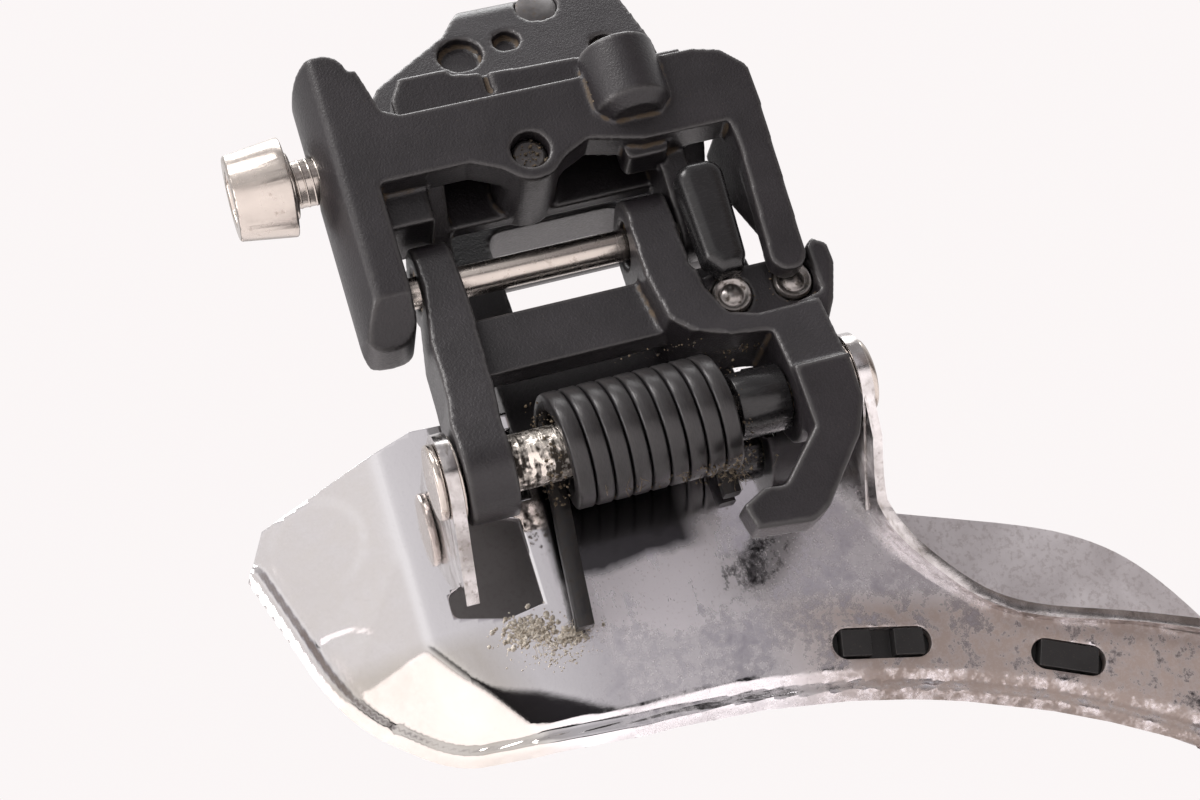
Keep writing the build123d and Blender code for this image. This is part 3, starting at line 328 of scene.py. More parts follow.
def paint_spring():
    """Black spring wire, rubbed along its crown, grimy in the gaps."""
    wish = bpy.context.scene.fd_spring
    p = Paint("spring_black")
    draw = p.grain(0.35 * MM, detail=3.0, stretch=(4.0, 0.6, 0.6))
    cloud = p.grain(4 * MM)
    crown = p.marked("crown")
    worn = (crown + (draw - 0.5) * 0.9).over(0.55, 1.2)
    low = tuple(wish.colour)
    colour = p.mix(cloud, low, tuple(c * 1.6 for c in low))
    colour = p.mix(worn * 0.5, colour, (0.075, 0.07, 0.07))
    dirt = ((1.0 - crown) * 0.9 + (p.grain(0.7 * MM, detail=4.0) - 0.5) * 1.6).over(0.75, 1.25)
    colour = p.mix(dirt * 0.35, colour, (0.050, 0.038, 0.026))
    rough = 0.27 + draw * 0.16 + dirt * 0.4 - worn * 0.06
    normal = p.bump(draw, 0.03 * MM, 0.7)
    return p.finish(Base_Color=colour, Roughness=rough, Normal=normal, Metallic=0.2)


def paint_chrome():
    """Mirror chrome with a cloudy haze, a painted dark reflection of the spring below the coil, scratches
    and a brown film; the low nose is dimmed partly by haze and partly as painted shade on a bright
    reflection.
    """
    wish = bpy.context.scene.fd_cage
    p = Paint("chrome_sheet")
    x = p.along("X") / MM
    z = p.along("Z") / MM
    haze = p.grain(5 * MM, detail=6.0, rough=0.6, warp=0.5)
    blot = p.grain(1.3 * MM, detail=6.0, rough=0.68)
    crystals = p.grain(0.45 * MM, detail=4.0, rough=0.7)
    wiped = p.grain(1.6 * MM, detail=5.0, rough=0.6, stretch=(1.5, 1.0, 0.3))
    # painted reflection: a near-black band on the plate below the coil stands in for the spring mirrored in
    # the chrome
    spring_reflection = (z - x * 0.06 + (haze - 0.5) * 2.0).over(-47.6, -46.4) * x.over(12.6, 13.8) * (
        1.0 - x.over(26.5, 29.0))
    right_part = x.over(12.0, 17.0) * (1.0 - z.over(-44.5, -42.0))
    low_part = 1.0 - (z + x * 0.10).over(-52.5, -49.0)
    brushed = right_part * (1.0 - low_part) * (1.0 - x.over(27.0, 33.0)) * (
        haze * 0.7 + wiped * 1.1).over(0.66, 0.90)
    mottled = right_part * (haze * 1.0 + blot * 1.1 + crystals * 0.5).over(1.10, 1.40)
    tail = x.over(31.0, 41.0) * (1.0 - (z + x * 0.27).over(-45.8, -43.0))
    film = (tail * (haze * 0.8 + blot * 0.9 + crystals * 0.4).over(0.78, 1.12)).clamped()
    cloud = (brushed + mottled * 0.62).clamped() * (1.0 - spring_reflection)
    nose = (1.0 - x.over(-3.0, -1.0)) * (haze * 0.7 + blot * 0.6).over(0.40, 0.95)
    grime = crystals.over(0.58, 0.70) * (0.15 + cloud * 0.85)
    base = tuple(wish.colour)
    # low nose: cloudy haze, and painted shade that dims the bright reflection falling there; the base colour
    # is turned darker and warmer
    haze_and_dimmed_reflection = (1.0 - (x + z * 0.3).over(-12.0, -8.0)) * (1.0 - z.over(-50.0, -48.0))
    base = p.mix(haze_and_dimmed_reflection * (0.55 + haze * 0.6).clamped(), base, (0.63, 0.595, 0.55))
    colour = p.mix(cloud * 0.9, base, (0.90, 0.86, 0.90))
    dull = right_part * (1.0 - (haze * 0.8 + blot * 0.8).over(0.62, 0.86)) * (1.0 - cloud)
    colour = p.mix(dull * 0.45, colour, (0.42, 0.39, 0.44))
    colour = p.mix(nose * 0.55, colour, (0.66, 0.62, 0.575))
    colour = p.mix(film * 0.85, colour, tuple(wish.stain_colour))
    colour = p.mix((film * crystals.over(0.55, 0.66)).clamped() * 0.5, colour, (0.72, 0.66, 0.66))
    colour = p.mix((grime * 0.42).clamped(), colour, (0.20, 0.17, 0.16))
    # painted reflection of the spring, near black
    colour = p.mix(spring_reflection * 0.94, colour, (0.022, 0.020, 0.023))
    metal = (1.0 - cloud * 0.55 - film * 0.45 - nose * 0.18).clamped()
    rough = 0.05 + cloud * 0.30 + film * 0.26 + nose * 0.20 + grime * 0.16 + spring_reflection * 0.10
    waves = p.bump(p.grain(14 * MM, detail=1.0), 0.4 * MM, 0.22)
    fine = p.bump(blot + crystals * 0.5, 0.010 * MM, 0.30, after=waves)
    return p.finish(Base_Color=colour, Metallic=metal, Roughness=rough, Normal=fine)


def paint_hazy_chrome():
    """Chrome of the outboard plate under a pale dry film, painted much darker towards the nose as a dark
    reflection.
    """
    p = Paint("hazy_chrome")
    haze = p.grain(6 * MM, detail=6.0, rough=0.6, warp=0.4)
    crystals = p.grain(0.7 * MM, detail=5.0, rough=0.7)
    colour = p.mix(haze.over(0.35, 0.7), (0.70, 0.665, 0.68), (0.84, 0.81, 0.83))
    colour = p.mix(crystals.over(0.50, 0.62) * 0.5, colour, (0.47, 0.42, 0.42))
    colour = p.mix(crystals.over(0.66, 0.72) * 0.6, colour, (0.95, 0.93, 0.94))
    # painted reflection: near-black colour towards the nose stands for the dark things the plate mirrors
    painted_dark_reflection = 1.0 - (p.along("X") / MM).over(14.0, 22.0)
    colour = p.mix(painted_dark_reflection * 0.9, colour, (0.10, 0.095, 0.092))
    normal = p.bump(crystals, 0.012 * MM, 0.3)
    return p.finish(Base_Color=colour, Metallic=0.45, Roughness=0.30 + haze * 0.2, Normal=normal)


def paint_dull_chrome():
    """Chrome of the ears and the flange, made darker than the plate's chrome as painted shade for the dark
    reflections they show, and streaked with grime.
    """
    p = Paint("dull_chrome")
    cloud = p.grain(3 * MM, detail=5.0, rough=0.6)
    streak = p.grain(0.8 * MM, detail=4.0, stretch=(1.2, 1.2, 0.3))
    # painted shade: the ears' chrome colour is kept far below the plate's so that their reflections read
    # dark; the brown streaks are grime
    colour = p.mix(cloud.over(0.35, 0.65), (0.34, 0.32, 0.31), (0.66, 0.64, 0.64))
    colour = p.mix(streak.over(0.55, 0.70) * 0.6, colour, (0.15, 0.125, 0.10))
    normal = p.bump(cloud, 0.10 * MM, 0.5)
    return p.finish(Base_Color=colour, Metallic=1.0, Roughness=0.10 + streak * 0.22, Normal=normal)


def paint_cut_edge():
    """Rough bright edge where the sheet was sheared."""
    p = Paint("sheared_edge")
    tooth = p.grain(0.22 * MM, detail=4.0, rough=0.7)
    cloud = p.grain(2.5 * MM, detail=4.0)
    colour = p.mix(tooth.over(0.35, 0.7), (0.30, 0.28, 0.27), (0.86, 0.84, 0.84))
    rough = 0.20 + cloud * 0.15 + tooth * 0.15
    normal = p.bump(tooth, 0.09 * MM, 0.9)
    return p.finish(Base_Color=colour, Metallic=1.0, Roughness=rough, Normal=normal)


def paint_steel():
    """Warm turned steel with fine rings and a little grime."""
    wish = bpy.context.scene.fd_hardware
    p = Paint("bright_steel")
    turned = p.grain(0.16 * MM, detail=2.0, stretch=(1.0, 0.05, 0.05))
    cloud = p.grain(2.2 * MM, detail=5.0)
    stain = p.grain(0.9 * MM, detail=5.0).over(0.60, 0.78)
    base = tuple(wish.steel_colour)
    colour = p.mix(cloud, tuple(c * 0.82 for c in base), tuple(min(1.0, c * 1.12) for c in base))
    colour = p.mix(stain * 0.45, colour, (0.20, 0.15, 0.11))
    rough = 0.17 + turned * 0.10 + stain * 0.25 + cloud * 0.06
    normal = p.bump(turned, 0.012 * MM, 0.5)
    return p.finish(Base_Color=colour, Metallic=1.0, Roughness=rough, Normal=normal)


def paint_dark_steel():
    """Blackened steel with bright rubbed rims."""
    wish = bpy.context.scene.fd_hardware
    p = Paint("dark_steel")
    cloud = p.grain(0.8 * MM, detail=5.0)
    rub = p.marked("edge").over(0.25, 0.9)
    base = tuple(wish.dark_colour)
    colour = p.mix(cloud, tuple(c * 0.6 for c in base), tuple(c * 1.5 for c in base))
    colour = p.mix(rub * 0.8, colour, (0.45, 0.42, 0.40))
    colour = p.mix(p.grain(0.6 * MM, detail=4.0).over(0.58, 0.72) * 0.6, colour, (0.12, 0.085, 0.05))
    rough = 0.34 + cloud * 0.2 - rub * 0.1
    normal = p.bump(cloud, 0.02 * MM, 0.5)
    return p.finish(Base_Color=colour, Metallic=0.8, Roughness=rough, Normal=normal)


def paint_worn_sleeve():
    """Steel sleeve with bright rubbed bands between rings of packed dirt."""
    p = Paint("worn_sleeve")
    rings = p.grain(0.8 * MM, detail=3.0, stretch=(1.2, 0.25, 0.25))
    packed = (p.grain(0.9 * MM, detail=5.0) * 0.7 + rings * 0.6).over(0.60, 0.74)
    colour = p.mix(rings, (0.55, 0.50, 0.44), (0.85, 0.80, 0.74))
    colour = p.mix(packed, colour, (0.035, 0.027, 0.020))
    normal = p.bump(packed, 0.05 * MM, 0.8)
    return p.finish(
        Base_Color=colour, Metallic=(1.0 - packed).clamped(), Roughness=0.25 + packed * 0.5, Normal=normal)


def paint_worn_tip():
    """Steel screw whose high rings are rubbed bright, with dirt between them."""
    p = Paint("worn_tip")
    cloud = p.grain(0.7 * MM, detail=5.0)
    packed = cloud.over(0.52, 0.66)
    colour = p.mix(cloud, (0.20, 0.19, 0.185), (0.42, 0.39, 0.37))
    colour = p.mix(packed * 0.8, colour, (0.060, 0.048, 0.036))
    normal = p.bump(cloud, 0.03 * MM, 0.5)
    return p.finish(Base_Color=colour, Metallic=0.9, Roughness=0.30 + packed * 0.35, Normal=normal)


def paint_bronze():
    """Oily bearing bronze."""
    wish = bpy.context.scene.fd_hardware
    p = Paint("bearing_bronze")
    cloud = p.grain(1.2 * MM, detail=5.0)
    base = tuple(wish.bronze_colour)
    colour = p.mix(cloud.over(0.35, 0.7), tuple(c * 0.35 for c in base), base)
    normal = p.bump(cloud, 0.02 * MM, 0.4)
    return p.finish(Base_Color=colour, Metallic=0.9, Roughness=0.32 + cloud * 0.2, Normal=normal)


def paint_plastic():
    """Moulded black plastic of the skid plate and its clips."""
    p = Paint("black_plastic")
    cloud = p.grain(2.0 * MM, detail=4.0)
    fine = p.grain(0.2 * MM, detail=2.0)
    colour = p.mix(cloud, (0.013, 0.0125, 0.013), (0.024, 0.022, 0.022))
    colour = p.mix(fine.over(0.62, 0.74) * 0.5, colour, (0.09, 0.075, 0.06))
    normal = p.bump(fine, 0.02 * MM, 0.4)
    return p.finish(Base_Color=colour, Roughness=0.30 + cloud * 0.15, Normal=normal)


def paint_grit(name="road_grit", low=(0.030, 0.024, 0.018), high=(0.25, 0.19, 0.12)):
    """Dry brown road dirt bound with old grease, or paler dust."""
    p = Paint(name)
    mottle = p.grain(0.45 * MM, detail=3.0)
    colour = p.mix(mottle.over(0.35, 0.65), low, high)
    normal = p.bump(mottle, 0.05 * MM, 0.8)
    return p.finish(Base_Color=colour, Roughness=0.85 - mottle * 0.3, Normal=normal)


# ---------------------------------------------------------------- making pieces
def settle(name, mesh, material, body, node=None):
    """Turn a finished mesh into a piece that rides on a body and stands for a CAD node."""
    piece = bpy.data.objects.new(name, mesh)
    bpy.context.collection.objects.link(piece)
    mesh.materials.clear()
    mesh.materials.append(material)
    if node:
        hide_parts(*([node] if isinstance(node, str) else node))
    if body:
        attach(piece, body)
    return piece


def mesh_from(bm, name, smooth=True):
    """Write a bmesh into a new mesh and shade it smooth."""
    mesh = bpy.data.meshes.new(name)
    bm.to_mesh(mesh)
    bm.free()
    if smooth:
        mesh.shade_smooth()
    return mesh


def evaluated(mesh, name, modifiers):
    """The mesh after a stack of modifiers, given as (kind, settings) pairs."""
    carrier = bpy.data.objects.new(name + "_work", mesh)
    bpy.context.collection.objects.link(carrier)
    for kind, settings in modifiers:
        added = carrier.modifiers.new(kind.lower(), kind)
        for key, value in settings.items():
            setattr(added, key, value)
    bpy.context.view_layer.update()
    graph = bpy.context.evaluated_depsgraph_get()
    made = bpy.data.meshes.new_from_object(carrier.evaluated_get(graph))
    made.name = name
    bpy.data.objects.remove(carrier)
    bpy.data.meshes.remove(mesh)
    return made


def node_copy(node):
    """A merged copy of a CAD node's mesh, flat areas joined."""
    bm = bmesh.new()
    bm.from_mesh(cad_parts[node].data)
    bmesh.ops.remove_doubles(bm, verts=bm.verts, dist=0.002 * MM)
    bmesh.ops.dissolve_limit(
        bm, angle_limit=math.radians(0.6), verts=bm.verts, edges=bm.edges, use_dissolve_boundaries=False)
    return bm


def everything(bm):
    """All points, edges and faces, as the cutting operators take them."""
    return bm.verts[:] + bm.edges[:] + bm.faces[:]


def mark_edges(mesh, spread=2, reach=1.6):
    """Keep how far each point stands out from, or sinks below, the points round it."""
    count = len(mesh.vertices)
    place = np.empty(count * 3, np.float64)
    mesh.vertices.foreach_get("co", place)
    place = place.reshape(-1, 3)
    normal = np.empty(count * 3, np.float64)
    mesh.vertices.foreach_get("normal", normal)
    normal = normal.reshape(-1, 3)
    ends = np.empty(len(mesh.edges) * 2, np.int64)
    mesh.edges.foreach_get("vertices", ends)
    ends = ends.reshape(-1, 2)
    first = ends[:, 0]
    second = ends[:, 1]
    step = place[second] - place[first]
    length = np.maximum(np.linalg.norm(step, axis=1), 1e-9)
    bend = np.zeros(count)
    uses = np.zeros(count)
    np.add.at(bend, first, -(step * normal[first]).sum(1) / length)
    np.add.at(bend, second, (step * normal[second]).sum(1) / length)
    np.add.at(uses, first, 1)
    np.add.at(uses, second, 1)
    bend /= np.maximum(uses, 1)
    for _ in range(spread):
        near = np.zeros(count)
        np.add.at(near, first, bend[second])
        np.add.at(near, second, bend[first])
        bend = 0.5 * bend + 0.5 * near / np.maximum(uses, 1)
    scale = reach / 0.20
    for name, value in (("edge", bend), ("hollow", -bend)):
        kept = mesh.attributes.new(name, "FLOAT", "POINT")
        kept.data.foreach_set("value", np.clip(value * scale, 0, 1).astype(np.float32))


def soft_casting(node, voxel, passes):
    """Copy of a CAD solid with every corner eased, as it leaves a die."""
    bm = node_copy(node)
    mesh = mesh_from(bm, node, smooth=False)
    made = evaluated(mesh, node, (
        ("REMESH", {"mode": "VOXEL", "voxel_size": voxel, "use_smooth_shade": True}),
        ("SMOOTH", {"factor": 0.5, "iterations": passes}),
    ))
    made.shade_smooth()
    mark_edges(made)
    return made


def bevelled(node, width, segments=2, angle=32.0):
    """Copy of a CAD solid with a fine bevel on its corners."""
    bm = node_copy(node)
    mesh = mesh_from(bm, node, smooth=False)
    made = evaluated(mesh, node, (
        ("BEVEL", {
            "width": width, "segments": segments, "limit_method": "ANGLE",
            "angle_limit": math.radians(angle), "harden_normals": True, "use_clamp_overlap": True,
            "miter_outer": "MITER_ARC",
        }),
        ("TRIANGULATE", {"keep_custom_normals": True}),
    ))
    return made


def ring_profile(bm, points, centre, axis=(1, 0, 0), across=(0, 0, 1), steps=48):
    """Turn a profile of (along, radius) points about an axis through centre."""
    along = Vector(axis)
    out = Vector(across)
    verts = [bm.verts.new(centre + along * a + out * max(r, 0.0)) for a, r in points]
    edges = [bm.edges.new(pair) for pair in zip(verts[:-1], verts[1:])]
    bmesh.ops.spin(
        bm, geom=verts + edges, cent=centre, axis=along, angle=math.tau, steps=steps, use_merge=True,
        use_duplicate=False)
    bmesh.ops.remove_doubles(bm, verts=bm.verts, dist=0.003 * MM)
    bmesh.ops.recalc_face_normals(bm, faces=bm.faces)


def thread(bm, start, axis, across, length, major, minor, pitch, steps=36):
    """Screw thread: a zigzag turned once and pushed on by one pitch, so that its ends meet."""
    along = Vector(axis)
    out = Vector(across)
    verts = []
    position = -pitch
    while position < length:
        verts.append(bm.verts.new(start + along * position + out * minor))
        verts.append(bm.verts.new(start + along * (position + 0.42 * pitch) + out * major))
        verts.append(bm.verts.new(start + along * (position + 0.58 * pitch) + out * major))
        position += pitch
    edges = [bm.edges.new(pair) for pair in zip(verts[:-1], verts[1:])]
    bmesh.ops.spin(
        bm, geom=verts + edges, cent=start, axis=along, angle=math.tau, steps=steps,
        dvec=along * (pitch / steps), use_merge=False, use_duplicate=False)
    bmesh.ops.remove_doubles(bm, verts=bm.verts, dist=0.004 * MM)
    bmesh.ops.recalc_face_normals(bm, faces=bm.faces)


def hinge(distance, slope, soft=0.25):
    """A fold: nothing before its line, a steady slope after it, eased over soft; all in millimetres."""
    return slope * soft * np.logaddexp(0.0, distance / soft)


def left_of(x, z, first, second):
    """Distance from the line first-second, positive on the right hand of one who walks along it."""
    step = np.array(second) - np.array(first)
    step = step / np.linalg.norm(step)
    return (x - first[0]) * step[1] - (z - first[1]) * step[0]


def eased(value):
    value = np.clip(value, 0.0, 1.0)
    return value * value * (3 - 2 * value)


def plate_outline(node, wish):
    """The outboard face of the inner plate laid flat and cut into a fine grid."""
    bm = node_copy(node)
    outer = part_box("cage_inner_plate")
    face_y = wish.plate_y + wish.sheet

    def lies_in_sheet(face):
        x, y, _ = face.calc_center_median()
        turned = (
            max(0.0, wish.nose_fold - x) * wish.nose_slope + max(0.0, x - wish.tail_fold) * wish.tail_slope)
        return face.normal.y > 0.9 and abs(y - face_y - turned) < 0.25 * MM

    bmesh.ops.delete(bm, geom=[f for f in bm.faces if not lies_in_sheet(f)], context="FACES")
    bmesh.ops.scale(bm, vec=(1, 0, 1), verts=bm.verts)
    bmesh.ops.remove_doubles(bm, verts=bm.verts, dist=0.01 * MM)
    bmesh.ops.dissolve_limit(bm, angle_limit=math.radians(3), verts=bm.verts, edges=bm.edges)
    low = Vector((outer[0].x, 0, outer[0].z))
    x = low.x
    while x < outer[1].x:
        x += wish.fine if x < 24 * MM else wish.coarse
        bmesh.ops.bisect_plane(
            bm, geom=everything(bm), plane_co=(x, 0, 0), plane_no=(1, 0, 0), dist=1e-7)
    z = low.z
    while z < outer[1].z:
        z += wish.fine
        bmesh.ops.bisect_plane(
            bm, geom=everything(bm), plane_co=(0, 0, z), plane_no=(0, 0, 1), dist=1e-7)
    bmesh.ops.remove_doubles(bm, verts=bm.verts, dist=0.03 * MM)
    return bm


def press_plate(bm, wish):
    """Give the flat outline its folds, its lower facet, its rolled lip and its round stampings."""
    bm.verts.ensure_lookup_table()
    place = np.array([v.co for v in bm.verts]) / MM
    x = place[:, 0]
    z = place[:, 2]
    ring_x = wish.ring_x / MM
    ring_z = wish.ring_z / MM
    ring = np.hypot(x - ring_x, z - ring_z)
    # how far each point is from the lower rim
    rim = []
    for edge in bm.edges:
        if len(edge.link_faces) != 1:
            continue
        a, b = (v.co / MM for v in edge.verts)
        mid = (a + b) / 2
        low_ring = math.hypot(mid.x - ring_x, mid.z - ring_z) < RIM_RING
        if (mid.x > 6 and low_ring) or (mid.x <= 6 and mid.z < -37.2 and (mid.x < -3 or mid.z < -52)):
            rim.extend(((a.x, a.z), (mid.x, mid.z)))
    rim = np.array(rim)
    reach = np.full(len(x), 1e9)
    for start in range(0, len(x), 2000):
        part = slice(start, start + 2000)
        gap = np.hypot(x[part, None] - rim[None, :, 0], z[part, None] - rim[None, :, 1])
        reach[part] = gap.min(1)
    fold = np.maximum(wish.nose_fold / MM - x, left_of(x, z, (-1.1, -49.2), (7.2, -60.6)))
    y = wish.plate_y / MM + hinge(fold, wish.nose_slope) + hinge(x - wish.tail_fold / MM, wish.tail_slope)
    lower_nose = np.minimum(left_of(x, z, (-11.5, -43.4), (-2.0, -39.5)), fold)
    y += hinge(lower_nose, 0.10)
    facet = np.minimum.reduce((
        np.maximum(FACET_RING - ring, (19.6 - x) * 2),
        left_of(x, z, (8.5, -56.0), (19.6, -60.1)),
        left_of(x, z, (-0.1, -51.0), (8.5, -56.0)),
        left_of(x, z, (-6.7, -52.3), (-0.1, -51.0)),
    ))
    wide = 1 - eased((x - 14) / 14)
    y += hinge(facet, wish.facet_slope) * wide + (1 - wide) * 0.35 * eased((FACET_RING - ring) / 0.8)
    # rolled lip along the lower rim
    lip = np.clip(reach / wish.lip_width * MM, 0, 1)
    y -= wish.lip_height / MM * np.sin(math.pi * lip) ** 2 * (0.6 + 0.4 * (1 - wide))
    y += 0.18 * np.exp(-((reach - 2.15) / 0.28) ** 2)
    # round stampings on the nose
    disc = np.hypot(x + 8.7, (z + 35.6)) - 4.5
    y -= 0.10 * (1 - eased((disc + 0.25) / 0.5))
    arc = np.hypot(x + 8.9, z + 50.5) - 5.35
    y += 0.14 * np.exp(-(arc / 0.25) ** 2) * eased((x + 12.0) / 1.5)
    for vert, new_y in zip(bm.verts, y):
        vert.co.y = new_y * MM


def plate_fittings(node, wish):
    """The ears, lugs and flange of the inner plate, cut off at the sheet."""
    bm = bmesh.new()
    for side, level in ((1, wish.plate_y - 0.02 * MM), (-1, wish.plate_y + wish.sheet + 0.02 * MM)):
        part = node_copy(node)
        bmesh.ops.bisect_plane(
            part, geom=everything(part), plane_co=(0, level, 0), plane_no=(0, side, 0), clear_outer=True,
            dist=1e-7)
        near = []
        for face in part.faces:
            spot = face.calc_center_median()
            if math.hypot(spot.x - wish.ring_x, spot.z - wish.ring_z) < BEAD_RING or spot.x < 1 * MM:
                near.append(face)
        bmesh.ops.delete(part, geom=near, context="FACES")
        holder = bpy.data.meshes.new("part")
        part.to_mesh(holder)
        part.free()
        bm.from_mesh(holder)
        bpy.data.meshes.remove(holder)
    return bm


# ---------------------------------------------------------------- operators
class FD_OT_castings(bpy.types.Operator):
    """Build the base, both links and the stop block as eased castings"""
    bl_idname = "derailleur.castings"
    bl_label = "Castings"

    def execute(self, context):
        wish = context.scene.fd_casting
        alloy = paint_casting()
        for node, body in (
            ("base_member", "base"), ("inner_link", "inner_link"), ("outer_link", "outer_link"),
        ):
            mesh = soft_casting(node, wish.voxel, wish.passes)
            settle("cast_" + node, mesh, alloy, body, node)
        mesh = soft_casting("stop_block", 0.2 * MM, 8)
        settle("cast_stop_block", mesh, paint_smooth_black(), "base", "stop_block")
        return {"FINISHED"}


class FD_OT_cage(bpy.types.Operator):
    """Build the two chrome plates and the black skid plate"""
    bl_idname = "derailleur.cage"
    bl_label = "Cage"

    def execute(self, context):
        wish = context.scene.fd_cage
        chrome = paint_chrome()
        sheared = paint_cut_edge()
        bm = plate_outline("cage_inner_plate", wish)
        press_plate(bm, wish)
        bmesh.ops.reverse_faces(bm, faces=bm.faces)
        mesh = mesh_from(bm, "pressed_plate")
        mesh = evaluated(mesh, "pressed_plate", (
            ("SOLIDIFY", {"thickness": wish.sheet, "offset": -1.0, "material_offset_rim": 1,
                          "use_even_offset": False}),
            ("BEVEL", {"width": 0.12 * MM, "segments": 2, "limit_method": "ANGLE",
                       "angle_limit": math.radians(62), "use_clamp_overlap": True, "material": -1}),
        ))
        mesh.shade_smooth()
        mesh.set_sharp_from_angle(angle=math.radians(48))
        piece = settle("chrome_inner_plate", mesh, chrome, "cage", "cage_inner_plate")
        piece.data.materials.append(sheared)
        bm = plate_fittings("cage_inner_plate", wish)
        mesh = mesh_from(bm, "plate_fittings", smooth=False)
        mesh = evaluated(mesh, "plate_fittings", (
            ("BEVEL", {"width": 0.5 * MM, "segments": 4, "limit_method": "ANGLE",
                       "angle_limit": math.radians(40), "harden_normals": False, "use_clamp_overlap": True}),
        ))
        mesh.shade_smooth()
        mesh.set_sharp_from_angle(angle=math.radians(50))
        settle("chrome_ears_and_flange", mesh, paint_dull_chrome(), "cage", None)
        mesh = bevelled("cage_outer_plate", wish.edge)
        settle("chrome_outer_plate", mesh, paint_hazy_chrome(), "cage", "cage_outer_plate")
        mesh = bevelled("skid_plate", 0.25 * MM)
        settle("moulded_skid_plate", mesh, paint_plastic(), "cage", "skid_plate")
        return {"FINISHED"}


class FD_OT_spring(bpy.types.Operator):
    """Wind the return spring with its two legs, and dress its sleeve and bush"""
    bl_idname = "derailleur.spring"
    bl_label = "Spring"

    def execute(self, context):
        wish = context.scene.fd_spring
        axle = middle("lower_inner_axle")
        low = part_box("torsion_spring")[0]
        bm = bmesh.new()
        outer = wish.radius
        inner = wish.radius - wish.height
        half = wish.wire / 2
        start_x = low.x + half
        turn = wish.turns * math.tau
        steps = int(wish.turns * 56)
        # section of the wire, with the two corners of its crown eased
        crown = 0.28 * MM
        outline = (
            (-half, inner + 0.1 * MM), (-half, outer - crown), (-half + crown * 0.4, outer - crown * 0.3),
            (-half + crown, outer), (half - crown, outer), (half - crown * 0.4, outer - crown * 0.3),
            (half, outer - crown), (half, inner + 0.1 * MM), (half - 0.1 * MM, inner),
            (-half + 0.1 * MM, inner),
        )
        centre = Vector((start_x, axle.y, axle.z))
        mark = bm.verts.layers.float.new("crown")
        verts = [bm.verts.new(centre + Vector((a, r, 0))) for a, r in outline]
        face = bm.faces.new(verts)
        for vert, (a, r) in zip(verts, outline):
            vert[mark] = 1.0 if abs(a) < half - 0.2 * crown and r > outer - crown * 0.5 else (
                0.45 if r > outer - crown * 1.2 else 0.0)
        made = bmesh.ops.spin(
            bm, geom=[face], cent=centre, axis=(1, 0, 0), angle=turn, steps=steps,
            dvec=Vector((wish.pitch * wish.turns / steps, 0, 0)), use_merge=False, use_duplicate=False)
        last = [item for item in made["geom_last"] if isinstance(item, bmesh.types.BMFace)][0]

        def leg(end, moves):
            """Push the end face along a bent path, given as (direction, distance) pairs."""
            for move in moves:
                grown = bmesh.ops.extrude_face_region(bm, geom=[end])
                corners = [g for g in grown["geom"] if isinstance(g, bmesh.types.BMVert)]
                bmesh.ops.delete(bm, geom=[end], context="FACES_ONLY")
                end = [g for g in grown["geom"] if isinstance(g, bmesh.types.BMFace)][0]
                bmesh.ops.translate(bm, verts=corners, vec=Vector(move))
            return end

        leg(face, (
            (-0.10 * MM, 0.1 * MM, -3 * MM), (-0.5 * MM, 0.4 * MM, -5 * MM),
            (-0.7 * MM, 0.45 * MM, -8.2 * MM)))
        leg(last, ((0, 0.4 * MM, -3 * MM), (0, 0.5 * MM, -4 * MM)))
        bmesh.ops.recalc_face_normals(bm, faces=bm.faces)
        mesh = mesh_from(bm, "spring")
        mesh.set_sharp_from_angle(angle=math.radians(50))
        piece = settle("return_spring", mesh, paint_spring(), None, "torsion_spring")
        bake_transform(piece)

        smooth = paint_smooth_black()
        mesh = bevelled("spring_bush", 0.2 * MM)
        settle("spring_end_bush", mesh, smooth, "cage", "spring_bush")
        mesh = bevelled("spring_sleeve", 0.1 * MM)
        settle("spring_inner_sleeve", mesh, paint_worn_sleeve(), "cage", "spring_sleeve")
        return {"FINISHED"}


